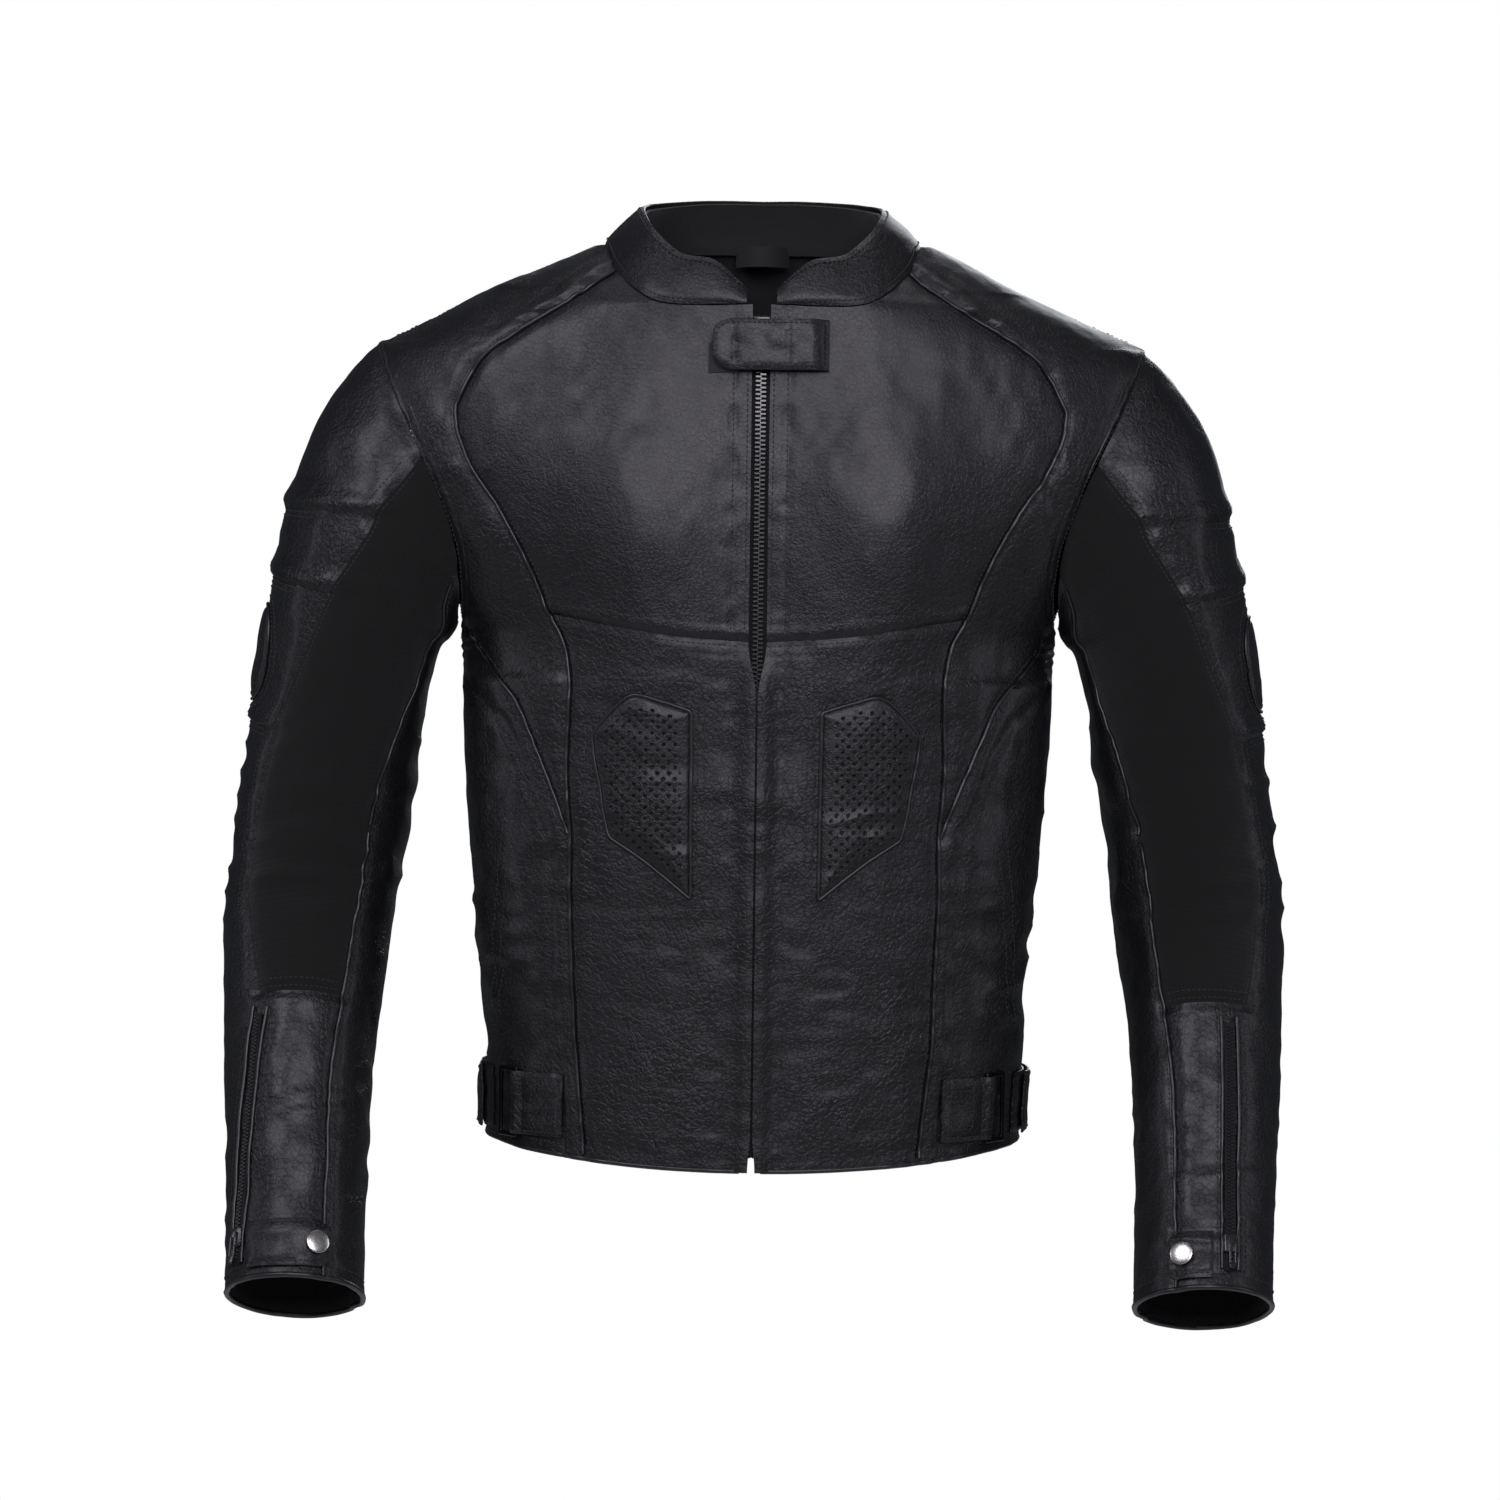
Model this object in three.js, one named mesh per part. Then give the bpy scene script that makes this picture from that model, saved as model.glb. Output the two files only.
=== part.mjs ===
// Leather riding jacket, hanging by the loop inside its neck.
// Millimetres, +Z up. The front faces -Y and +X is the wearer's left.
// The origin is the middle of the neck loop, where a hook holds the jacket.
import * as THREE from 'three';

// ---- Driving dimensions ---------------------------------------------------

const SHELL = 3; // leather, backing and lining together
const SEAM_GAP = 0.8; // between neighbouring panels
const LAY = 0.8; // between a panel and what lies on it
const WIDE_GAP = 2.6; // where a seam runs slantwise between two panels
const LINING_GAP = 1.5;
const MID_Y = -49; // plane of both shoulder seams, measured from the neck loop

const NECK = { x: 105, z: 5 }; // outer end of the collar seam
const TIP = { x: 255, z: -63 }; // shoulder tip, top of the armhole
const UNDERARM = { x: 198, z: -250 }; // bottom of the armhole
const ARM_DEPTH = 62; // half the armhole, front to back
const ARM_SCOOP = 16; // how far the armhole's front edge curves in
const ARM_OPENNESS = 0.15; // how early the torso turns towards the sleeve

const HEM_Z = -600;
const HEM_LIFT = 12; // the hem is this much higher at the sides
const BODY_SQUARENESS = 2.3; // 2 is an ellipse, more is squarer
const SIDE_WIDTH = [[HEM_Z, 176], [-505, 179], [-415, 187], [-330, 194], [-262, 198], [-250, 198]];
const FRONT_DEPTH = [[HEM_Z, 114], [-41, 84], [-30, 77], [-17, 66], [5, 44], [40, 20]];
const BACK_DEPTH = [
  [HEM_Z, 100], [-415, 106], [-262, 116], [-150, 110], [-110, 104], [-63, 92], [-39, 84], [-17, 74], [8, 62],
];
const CHEST = { swell: 14, x: 85, z: -190, wide: 55, high: 90 };

const FRONT_EDGE = 12; // half the gap between the two fronts
const YOKE_Z = -108; // turn of the front piping, next to the armhole

const ELBOW_RING = 6;
const STRETCH_END_RING = 8.1;
const CUFF_RING = 11;
const SLEEVE_BACK_SEAM = -150; // degrees round the sleeve from its outer line

const ZIP = { split: 1.4, thick: 3, sink: 2, top: -47, bottom: HEM_Z + 8 };
const SLIDER = { width: 11, high: 15, plate: 1.6, web: 0.8, play: 0.4, start: 1 };
const PULL = { width: 7, long: 30, thick: 1.6, above: 4 };
const CUFF_ZIP = { wide: 7, thick: 2, low: 10.85, high: 8.35, slider: 12, start: 12 };
const CUFF_ZIP_ANGLE = { l: [78, 74], r: [64, 40] }; // top and bottom, degrees from the outer line
const CUFF_PULL = { width: 5, long: 20, thick: 1.4, above: 3 };
const CUFF_SLIDER = { lip: 1.2, floor: 0.6, roof: 1.4 };
const CUFF_TAB = { rings: [10.5, 10.7, 10.9], start: 14, end: 126, snap: 112 };
const FLAP = { free: -26, sewn: 24, thick: 2, fold: 3, clear: 1 };
const STRAP_THICK = 3;
const THROAT = { sewn: 44, free: -31, top: -51, bottom: -84, proud: 6 };
const THROAT_ENDS = [[-31, 0.3], [-27, 0.8], [-18, 1], [-8, 1], [8, 1], [20, 1], [32, 1], [44, 1]];
const PATCH = { x: [-33, -24, -15], z: [-83, -74, -66], thick: 1.4 };
const WAIST = { top: HEM_Z + 59, bottom: HEM_Z + 18, tab: [44, 58], strap: [80, 128], end: [80, 108] };
const WAIST_STRAP = { sewn: 2, loose: 2.4 }; // thicknesses
const PAD_THICK = 4;
const RING = { wide: 20, high: 46, bar: 3.2, thick: 2.4 };
const SNAP = { radius: 7.6, thick: 2.6, lift: 0.7 };
const LOOP = { wide: 36, seat: 8.4, bow: -18, band: 1.2, high: 14 };
const PROTECTOR = { shoulder: SHELL + 4, elbow: SHELL + 2, back: SHELL + 3, thick: 7 }; // depths of their faces
const SHOULDER_GUARD = { rings: [0.5, 1, 1.5, 2], reach: 50 };
const ELBOW_GUARD = { rings: [6.2, 6.8, 7.5, 8.2], from: -120, to: -20 };
const BACK_GUARD = { low: -400, high: -125, from: 150, to: 210 };
const LINING = 1.6;

const LEATHER = { color: 0x18181b, roughness: 0.5, metalness: 0 };
const STRETCH = { color: 0x20201f, roughness: 0.95, metalness: 0 };
const SOFT = { color: 0x101012, roughness: 0.9, metalness: 0 };
const FOAM = { color: 0x2b2b2e, roughness: 0.9, metalness: 0 };
const BLACK_METAL = { color: 0x0c0c0e, roughness: 0.25, metalness: 0.9 };
const NICKEL = { color: 0xd8d0cc, roughness: 0.3, metalness: 1 };

// ---- Small tools ----------------------------------------------------------

const rad = THREE.MathUtils.degToRad;
const deg = THREE.MathUtils.radToDeg;
const group = new THREE.Group();

function profile(knots) {
  // A smooth curve through [position, value] knots.
  const slopes = knots.map((knot, i) => {
    const before = knots[Math.max(i - 1, 0)];
    const after = knots[Math.min(i + 1, knots.length - 1)];
    return (after[1] - before[1]) / (after[0] - before[0]);
  });
  return (at) => {
    let i = 0;
    while (i < knots.length - 2 && at > knots[i + 1][0]) {
      i += 1;
    }
    const span = knots[i + 1][0] - knots[i][0];
    const t = (at - knots[i][0]) / span;
    const rise = 3 * t * t - 2 * t * t * t;
    const start = t * (1 - t) * (1 - t) * span * slopes[i];
    const end = t * t * (1 - t) * span * slopes[i + 1];
    return knots[i][1] * (1 - rise) + knots[i + 1][1] * rise + start - end;
  };
}

function outward(geometry) {
  // Turns every face over when the solid's signed volume is negative.
  const spots = geometry.attributes.position;
  const index = geometry.index.array;
  const [a, b, c] = [new THREE.Vector3(), new THREE.Vector3(), new THREE.Vector3()];
  let volume = 0;
  for (let i = 0; i < index.length; i += 3) {
    a.fromBufferAttribute(spots, index[i]);
    b.fromBufferAttribute(spots, index[i + 1]);
    c.fromBufferAttribute(spots, index[i + 2]);
    volume += a.dot(b.cross(c));
  }
  if (volume < 0) {
    for (let i = 0; i < index.length; i += 3) {
      [index[i], index[i + 1]] = [index[i + 1], index[i]];
    }
  }
  return geometry;
}

function add(name, geometry, finish, parent = group) {
  const mesh = new THREE.Mesh(geometry, new THREE.MeshStandardMaterial(finish));
  mesh.name = name;
  parent.add(mesh);
  return mesh;
}

function frameAt(origin, across, outwards) {
  // A group whose X runs across and whose Z points outwards.
  const z = outwards.clone().normalize();
  const x = across.clone().addScaledVector(z, -across.dot(z)).normalize();
  const y = new THREE.Vector3().crossVectors(z, x);
  const frame = new THREE.Group();
  frame.setRotationFromMatrix(new THREE.Matrix4().makeBasis(x, y, z));
  frame.position.copy(origin);
  group.add(frame);
  return frame;
}

function steps(from, to, count) {
  return Array.from({ length: count + 1 }, (_, i) => from + ((to - from) * i) / count);
}

function line(from, to, count) {
  return steps(0, 1, count).map((t) => [0, 1].map((k) => from[k] + (to[k] - from[k]) * t));
}

function coons(bottom, top, left, right) {
  // A grid of chart points between four edges that share their corners.
  return left.map((l, row) => {
    const v = row / (left.length - 1);
    return bottom.map((b, column) => {
      const u = column / (bottom.length - 1);
      return [0, 1].map((k) => {
        const ruled = (1 - v) * b[k] + v * top[column][k] + (1 - u) * l[k] + u * right[row][k];
        const low = (1 - u) * bottom[0][k] + u * bottom.at(-1)[k];
        const high = (1 - u) * top[0][k] + u * top.at(-1)[k];
        return ruled - (1 - v) * low - v * high;
      });
    });
  });
}

function inwardIndex(i, last) {
  if (i === 0) {
    return 1;
  }
  return i === last ? last - 1 : i;
}

function trimmed(grid, place, gap) {
  // Draws each edge in by half the gap, so that neighbours stay apart.
  const rows = grid.length - 1;
  const columns = grid[0].length - 1;
  return grid.map((spots, row) => spots.map((point, column) => {
    const r = inwardIndex(row, rows);
    const c = inwardIndex(column, columns);
    if (r === row && c === column) {
      return point;
    }
    const inner = grid[r][c];
    const corner = r !== row && c !== column ? Math.SQRT2 : 1;
    const away = place(...point, 0).distanceTo(place(...inner, 0));
    const share = (corner * gap) / 2 / away;
    return [0, 1].map((k) => point[k] + (inner[k] - point[k]) * share);
  }));
}

function sheet(grid, place, outer, inner, gap = SEAM_GAP) {
  // A closed solid over a grid of chart points, between two depths below the surface.
  const rows = grid.length - 1;
  const columns = grid[0].length - 1;
  const cut = trimmed(grid, place, gap);
  const depth = (value, u, v) => (typeof value === 'function' ? value(u, v) : value);
  const geometry = new THREE.BoxGeometry(1, 1, 1, columns, rows, 1);
  const spots = geometry.attributes.position;
  for (let i = 0; i < spots.count; i += 1) {
    const u = spots.getX(i) + 0.5;
    const v = spots.getY(i) + 0.5;
    const point = cut[Math.round(v * rows)][Math.round(u * columns)];
    const below = depth(spots.getZ(i) > 0 ? outer : inner, u, v);
    const spot = place(...point, below);
    spots.setXYZ(i, spot.x, spot.y, spot.z);
  }
  return outward(geometry);
}

function block(wide, high, thick, x = 0, y = 0, z = 0) {
  return new THREE.BoxGeometry(wide, high, thick).translate(x, y, z);
}

// ---- Torso surface: degrees round the body from the centre front, and height --

const sideWidth = profile(SIDE_WIDTH);
const frontDepth = profile(FRONT_DEPTH);
const backDepth = profile(BACK_DEPTH);
const ARM_MIDDLE = (TIP.z + UNDERARM.z) / 2;
const ARM_HALF = (TIP.z - UNDERARM.z) / 2;

function sideX(z) {
  if (z >= TIP.z) {
    return TIP.x + ((NECK.x - TIP.x) * (z - TIP.z)) / (NECK.z - TIP.z);
  }
  if (z >= UNDERARM.z) {
    return UNDERARM.x + ((TIP.x - UNDERARM.x) * (z - UNDERARM.z)) / (TIP.z - UNDERARM.z);
  }
  return sideWidth(z);
}

function armholeDepth(z) {
  const t = (z - ARM_MIDDLE) / ARM_HALF;
  return Math.abs(t) < 1 ? ARM_DEPTH * Math.sqrt(1 - t * t) : 0;
}

function scoop(z) {
  const t = (TIP.z - z) / (TIP.z - UNDERARM.z);
  return t > 0 && t < 1 ? ARM_SCOOP * Math.sin(Math.PI * t ** 1.6) : 0;
}

function onTorso(angle, z, inset) {
  const front = Math.cos(rad(angle)) > 0;
  const sine = Math.sin(rad(angle));
  const open = armholeDepth(z);
  const edge = Math.max(0, open - inset);
  const turn = 1 - (ARM_OPENNESS * open) / ARM_DEPTH;
  const round = (s) => Math.max(0, 1 - s ** BODY_SQUARENESS) ** (1 / BODY_SQUARENESS);
  const rest = round(turn);
  const share = (round(turn * Math.abs(sine)) - rest) / (1 - rest);
  const full = (front ? frontDepth(z) : backDepth(z)) - inset;
  const x = (sideX(z) - (front ? scoop(z) : 0) - inset) * sine;
  let y = edge + (full - edge) * share;
  if (front) {
    const wide = (Math.abs(x) - CHEST.x) / CHEST.wide;
    const high = (z - CHEST.z) / CHEST.high;
    y += CHEST.swell * Math.exp(-wide * wide - high * high) * (1 - Math.abs(sine) ** 4);
  }
  return new THREE.Vector3(x, MID_Y + (front ? -y : y), z);
}

function at(x, z) {
  return [deg(Math.asin(Math.min(1, x / (sideX(z) - scoop(z))))), z];
}

function mirrored(place, side) {
  return (a, b, inset) => {
    const spot = place(a, b, inset);
    spot.x *= side;
    return spot;
  };
}

function hem(angle) {
  return HEM_Z + HEM_LIFT * Math.sin(rad(angle)) ** 2;
}

// ---- Sleeve surface: degrees round from its outer line, and ring number ------
// Each ring: outer x, outer z, inner x, inner z, half depth, middle y, tilt.

const RINGS = [
  [TIP.x, TIP.z, UNDERARM.x, UNDERARM.z, ARM_DEPTH, 0, 0],
  [290, -107, 200, -254, 66, -1, 0],
  [311, -165, 205, -260, 66, -2, 0],
  [322, -222, 212, -269, 64, -2, 0],
  [332, -286, 221, -303, 61, 1, 0],
  [340, -337, 227, -348, 59, 5, 2],
  [347, -392, 234, -392, 58, 6, 8],
  [352, -442, 240, -442, 56, -6, 18],
  [349, -505, 247, -505, 52, -36, 25],
  [345, -556, 250, -556, 48, -61, 27],
  [340, -618, 250, -618, 45, -88, 27],
  [337, -683, 247, -683, 46, -117, 26],
];
const [outerX, outerZ, innerX, innerZ, sleeveDepth, sleeveY, sleeveTilt] = RINGS[0].map((_, k) => (
  profile(RINGS.map((ring, i) => [i, ring[k]]))
));
const stretchOuter = profile([
  [0, 106.5], [1, 104], [2, 95], [3, 84], [4, 62], [5, 38], [6, 48], [7, 64], [8.1, 74],
]);
const stretchInner = profile([
  [0, 109.5], [1, 112], [2, 132], [3, 145], [4, 141], [5, 136], [6, 134], [7, 131], [8.1, 130],
  [9, 122], [11, 119],
]);

function onSleeve(angle, ring, inset) {
  const half = new THREE.Vector2(outerX(ring) - innerX(ring), outerZ(ring) - innerZ(ring)).divideScalar(2);
  const across = Math.cos(rad(angle)) * (1 - inset / half.length());
  const depth = Math.sin(rad(angle)) * (sleeveDepth(ring) - inset);
  const tilt = rad(sleeveTilt(ring));
  let x = (outerX(ring) + innerX(ring)) / 2 + half.x * across;
  const z = (outerZ(ring) + innerZ(ring)) / 2 + half.y * across + depth * Math.sin(tilt);
  if (depth > 0) {
    x -= scoop(z) * Math.max(0, 1 - ring);
  }
  return new THREE.Vector3(x, MID_Y + sleeveY(ring) - depth * Math.cos(tilt), z);
}

// ---- Seam lines on the front, as x and z -----------------------------------

const HEM_PIPING = [108, hem(35)];
const CHEST_SEAM_IN = [FRONT_EDGE, -258];
const CHEST_SEAM_OUT = [136, -243];
const PIPING_LOW = [
  HEM_PIPING, [111, -566], [116, -520], [118, -474], [120, -422], [120, -385], [123, -340], [122, -290],
  [126, -263], CHEST_SEAM_OUT,
];
const PIPING_MIDDLE = [CHEST_SEAM_OUT, [151, -208], [169, -175], [186, -150], [197, -125], [199, YOKE_Z]];
const PIPING_HIGH = [[96, -17], [127, -39], [165, -63], [184, -79], [199, YOKE_Z]];
const NECK_SEAM = [[FRONT_EDGE, -41], [40, -42], [67, -40], [84, -30], [96, -17]];
const chart = (points) => points.map(([x, z]) => at(x, z));

// ---- Torso panels ----------------------------------------------------------

function fronts(place, tag) {
  const chestSeam = chart(line(CHEST_SEAM_IN, CHEST_SEAM_OUT, 8));
  const chestTop = chart([...NECK_SEAM, ...PIPING_HIGH.slice(1)]);
  const chestEdge = line(chestSeam[0], chestTop[0], 5);
  const chestGrid = coons(chestSeam, chestTop, chestEdge, chart(PIPING_MIDDLE));
  add(`chest_panel_${tag}`, sheet(chestGrid, place, 0, SHELL), LEATHER);

  const lowSide = chart(PIPING_LOW);
  const lowHem = line(at(FRONT_EDGE, HEM_Z), lowSide[0], 8);
  const lowEdge = line(lowHem[0], chestSeam[0], 9);
  const lowGrid = coons(lowHem, chestSeam, lowEdge, lowSide);
  add(`lower_front_${tag}`, sheet(lowGrid, place, 0, SHELL), LEATHER);

  const seam = chart([...PIPING_LOW, ...PIPING_MIDDLE.slice(1)]);
  const sideGrid = seam.map(([angle, z], row) => steps(angle, 90, 6).map((a) => (
    [a, row === 0 ? hem(a) : z]
  )));
  add(`side_panel_${tag}`, sheet(sideGrid, place, 0, SHELL, WIDE_GAP), LEATHER);

  const yokeSeam = chart([...PIPING_HIGH].reverse().concat([[103.5, 1]]));
  const yokeGrid = yokeSeam.map(([angle, z]) => steps(angle, 90, 5).map((a) => [a, z]));
  add(`shoulder_panel_${tag}`, sheet(yokeGrid, place, 0, SHELL, WIDE_GAP), LEATHER);
}

function back() {
  const yokeRows = [YOKE_Z, -79, -63, -39, -17, 1];
  const yokeGrid = yokeRows.map((z) => steps(90, 270, 16).map((a) => [a, z]));
  add('back_yoke', sheet(yokeGrid, onTorso, 0, SHELL), LEATHER);
  const rows = [...PIPING_LOW, ...PIPING_MIDDLE.slice(1)].map(([, z]) => z);
  const grid = rows.map((z, row) => steps(90, 270, 16).map((a) => [a, row === 0 ? hem(a) : z]));
  add('back_panel', sheet(grid, onTorso, 0, SHELL), LEATHER);
  const protectorGrid = steps(BACK_GUARD.low, BACK_GUARD.high, 4).map((z) => (
    steps(BACK_GUARD.from, BACK_GUARD.to, 4).map((a) => [a, z])
  ));
  const inner = PROTECTOR.back + PROTECTOR.thick;
  add('back_protector', sheet(protectorGrid, onTorso, PROTECTOR.back, inner), FOAM);
}

// ---- Collar ----------------------------------------------------------------
// From the front end round the side to the centre back: x, y from the mid plane, z.

const COLLAR_BASE = [
  [10, -85, -40], [40, -84, -41], [67, -81, -39], [84, -72, -29], [96, -56, -16], [102, -36, -3],
  [105, -4, 4.5], [97, 30, 5], [72, 50, 5.5], [38, 60, 6], [0, 62, 6],
];
const COLLAR_TOP = [
  [9, -79, -30], [30, -76, -12], [52, -69, -7], [66, -59, 4], [74, -45, 14], [78, -27, 22],
  [80, -2, 29], [76, 24, 33], [58, 42, 36], [30, 52, 38], [0, 55, 38],
];

function onCollar(column, high, inset) {
  const i = Math.abs(column);
  const low = Math.min(Math.floor(i), COLLAR_BASE.length - 2);
  const part = i - low;
  const spot = [0, 1, 2].map((k) => {
    const base = COLLAR_BASE[low][k] * (1 - part) + COLLAR_BASE[low + 1][k] * part;
    const top = COLLAR_TOP[low][k] * (1 - part) + COLLAR_TOP[low + 1][k] * part;
    return base + (top - base) * high;
  });
  const flat = new THREE.Vector2(spot[0], spot[1]);
  flat.multiplyScalar(1 - inset / flat.length());
  return new THREE.Vector3(flat.x * Math.sign(column || 1), MID_Y + flat.y, spot[2]);
}

function collar() {
  const last = COLLAR_BASE.length - 1;
  const round = (column, high, inset) => (
    onCollar(column > last ? column - 2 * last - 0.0001 : column, high, inset)
  );
  const columns = steps(0, 2 * last, 2 * last);
  const collarGrid = [0.02, 0.5, 1].map((high) => columns.map((column) => [column, high]));
  add('collar', sheet(collarGrid, round, 0, SHELL), LEATHER);
  const liningGrid = [0.06, 0.5, 0.96].map((high) => columns.map((column) => [column, high]));
  const face = SHELL + LINING_GAP;
  add('collar_lining', sheet(liningGrid, round, face, face + LINING), SOFT);
}

function hangerLoop() {
  // A band sewn down at both ends, bowed away from the neck lining.
  const half = LOOP.wide / 2;
  const inner = half - 2 * LOOP.band;
  const outline = new THREE.Shape();
  outline.moveTo(-half, LOOP.seat);
  outline.quadraticCurveTo(0, LOOP.bow, half, LOOP.seat);
  outline.lineTo(inner, LOOP.seat);
  outline.quadraticCurveTo(0, LOOP.bow + 2 * LOOP.band, -inner, LOOP.seat);
  outline.closePath();
  const band = new THREE.ExtrudeGeometry(outline, { depth: LOOP.high, bevelEnabled: false, curveSegments: 8 });
  const mesh = add('hanger_loop', band, SOFT);
  mesh.position.set(0, 0, -LOOP.high / 2);
}

// ---- Front zip, flap behind it and throat strap ----------------------------

function zipSpot(z) {
  // The zip is straight, so its slider can run from end to end.
  const depth = ZIP.sink + ZIP.thick / 2;
  const bottom = onTorso(0, ZIP.bottom, depth);
  return bottom.lerp(onTorso(0, ZIP.top, depth), (z - ZIP.bottom) / (ZIP.top - ZIP.bottom));
}

function zipFrame(z) {
  const across = new THREE.Vector3(1, 0, 0);
  const outwards = across.clone().cross(zipSpot(ZIP.top).sub(zipSpot(ZIP.bottom)));
  return frameAt(zipSpot(z), across, outwards);
}

function frontZip() {
  const long = ZIP.top - ZIP.bottom;
  const strips = zipFrame((ZIP.top + ZIP.bottom) / 2);
  const wide = FRONT_EDGE - SEAM_GAP / 2 - ZIP.split / 2;
  for (const [tag, side] of [['l', 1], ['r', -1]]) {
    const middle = side * (ZIP.split / 2 + wide / 2);
    add(`zip_tape_${tag}`, block(wide, long, ZIP.thick, middle), BLACK_METAL, strips);
  }

  const rest = zipFrame(ZIP.top - SLIDER.high / 2 - SLIDER.start);
  const half = SLIDER.width / 2;
  const face = ZIP.thick / 2 + SLIDER.play;
  const rim = face + SLIDER.plate;
  const web = SLIDER.web / 2;
  const section = new THREE.Shape();
  section.moveTo(-half, -rim);
  for (const [x, y] of [
    [half, -rim], [half, -face], [web, -face], [web, face], [half, face], [half, rim],
    [-half, rim], [-half, face], [-web, face], [-web, -face], [-half, -face],
  ]) {
    section.lineTo(x, y);
  }
  section.closePath();
  const body = new THREE.ExtrudeGeometry(section, { depth: SLIDER.high, bevelEnabled: false });
  body.rotateX(Math.PI / 2).translate(0, SLIDER.high / 2, 0);
  add('zip_slider', body, NICKEL, rest);
  const pullFace = rim + SLIDER.play + PULL.thick / 2;
  const pull = block(PULL.width, PULL.long, PULL.thick, 0, PULL.above - PULL.long / 2, pullFace);
  add('zip_pull', pull, NICKEL, rest);
}

function windFlap() {
  // Behind the zip the flap is as straight as the zip, so the slider never meets it.
  const toAngle = (x, z) => Math.sign(x) * at(Math.abs(x), z)[0];
  const top = ZIP.top - SLIDER.start;
  const heights = steps(ZIP.bottom + 8, top, 12);
  const grid = heights.map((z) => steps(FLAP.free, FLAP.sewn, 5).map((x) => [toAngle(x, z), z]));
  const sliderBack = ZIP.thick / 2 + SLIDER.play + SLIDER.plate + FLAP.clear;
  const behind = (v) => {
    const z = heights[0] + (top - heights[0]) * v;
    return zipSpot(z).y - onTorso(0, z, 0).y + sliderBack;
  };
  const face = (u, v) => (u > 0.9 ? SHELL + LAY : behind(v));
  const flapBack = (u, v) => (u > 0.9 ? SHELL + LAY + FLAP.fold : behind(v) + FLAP.thick);
  add('wind_flap', sheet(grid, onTorso, face, flapBack), SOFT);
}

function throatStrap() {
  const toAngle = (x, z) => Math.sign(x) * at(Math.abs(x), z)[0];
  const middle = (THROAT.top + THROAT.bottom) / 2;
  const half = (THROAT.top - THROAT.bottom) / 2;
  const grid = steps(-1, 1, 2).map((v) => THROAT_ENDS.map(([x, wide]) => {
    const z = middle + v * half * wide;
    return [toAngle(x, z), z];
  }));
  const inner = (u) => (u > 0.99 ? -LAY / 2 : -THROAT.proud);
  const outer = (u) => inner(u) - STRAP_THICK;
  add('throat_strap', sheet(grid, onTorso, outer, inner), LEATHER);
  const patchGrid = PATCH.z.map((z) => PATCH.x.map((x) => [toAngle(x, z), z]));
  add('throat_patch', sheet(patchGrid, onTorso, -LAY - PATCH.thick, -LAY), SOFT);
}

// ---- Pads and waist adjusters ----------------------------------------------

function bellyPad(place, tag) {
  const inner = chart(line([41, -425], [42, -304], 4));
  const lower = chart(line([41, -425], [94, -386], 4));
  const outer = chart([[94, -386], [98, -369], [100, -355], [104, -336], [106, -320]]);
  const upper = chart([[42, -304], [61, -298], [80, -294], [94, -305], [106, -320]]);
  add(`belly_pad_${tag}`, sheet(coons(lower, upper, inner, outer), place, -LAY - PAD_THICK, -LAY), LEATHER);
}

function waistAdjuster(side, place, tag) {
  const rows = steps(WAIST.bottom, WAIST.top, 2);
  const patch = (from, to, count) => rows.map((z) => steps(from, to, count).map((a) => [a, z]));
  add(`waist_tab_${tag}`, sheet(patch(...WAIST.tab, 4), place, -LAY - STRAP_THICK, -LAY), LEATHER);
  add(`waist_strap_${tag}`, sheet(patch(...WAIST.strap, 7), place, -LAY - WAIST_STRAP.sewn, -LAY), LEATHER);
  const lift = LAY + WAIST_STRAP.sewn + LAY;
  const end = sheet(patch(...WAIST.end, 5), place, -lift - WAIST_STRAP.loose, -lift);
  add(`waist_strap_end_${tag}`, end, LEATHER);

  const height = (WAIST.top + WAIST.bottom) / 2;
  const edge = place(WAIST.tab[1], height, -LAY);
  const beyond = place(WAIST.tab[1] + 10, height, -LAY);
  const across = beyond.clone().sub(edge).setZ(0).normalize();
  const outwards = across.clone().cross(new THREE.Vector3(0, 0, side)).normalize();
  const centre = edge.clone().addScaledVector(across, RING.wide / 2 + SEAM_GAP);
  centre.addScaledVector(outwards, 1 + RING.thick / 2);
  const ring = new THREE.Shape();
  const [wide, high] = [RING.wide / 2, RING.high / 2];
  ring.moveTo(-wide, -high).lineTo(wide, -high).lineTo(wide, high).lineTo(-wide, high).closePath();
  const hole = new THREE.Path();
  const [openWide, openHigh] = [wide - RING.bar, high - RING.bar];
  hole.moveTo(-openWide, -openHigh).lineTo(-openWide, openHigh);
  hole.lineTo(openWide, openHigh).lineTo(openWide, -openHigh).closePath();
  ring.holes.push(hole);
  const frame = frameAt(centre, across, outwards);
  const body = new THREE.ExtrudeGeometry(ring, { depth: RING.thick, bevelEnabled: false });
  add(`waist_ring_${tag}`, body.translate(0, 0, -RING.thick / 2), NICKEL, frame);
}

// ---- Sleeves -----------------------------------------------------------------

const UPPER_ROWS = [0, 0.75, 1.5, 2.25, 3, 3.75, 4.5, 5.25, ELBOW_RING];
const FORE_ROWS = [ELBOW_RING, 6.7, 7.4, STRETCH_END_RING, 8.8, 9.5, 10.25, CUFF_RING];
const CAP_END = 3; // the cap panel ends at this row

function band(rows, from, to, count) {
  return rows.map((ring) => steps(from(ring), to(ring), count).map((a) => [a, ring]));
}

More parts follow.
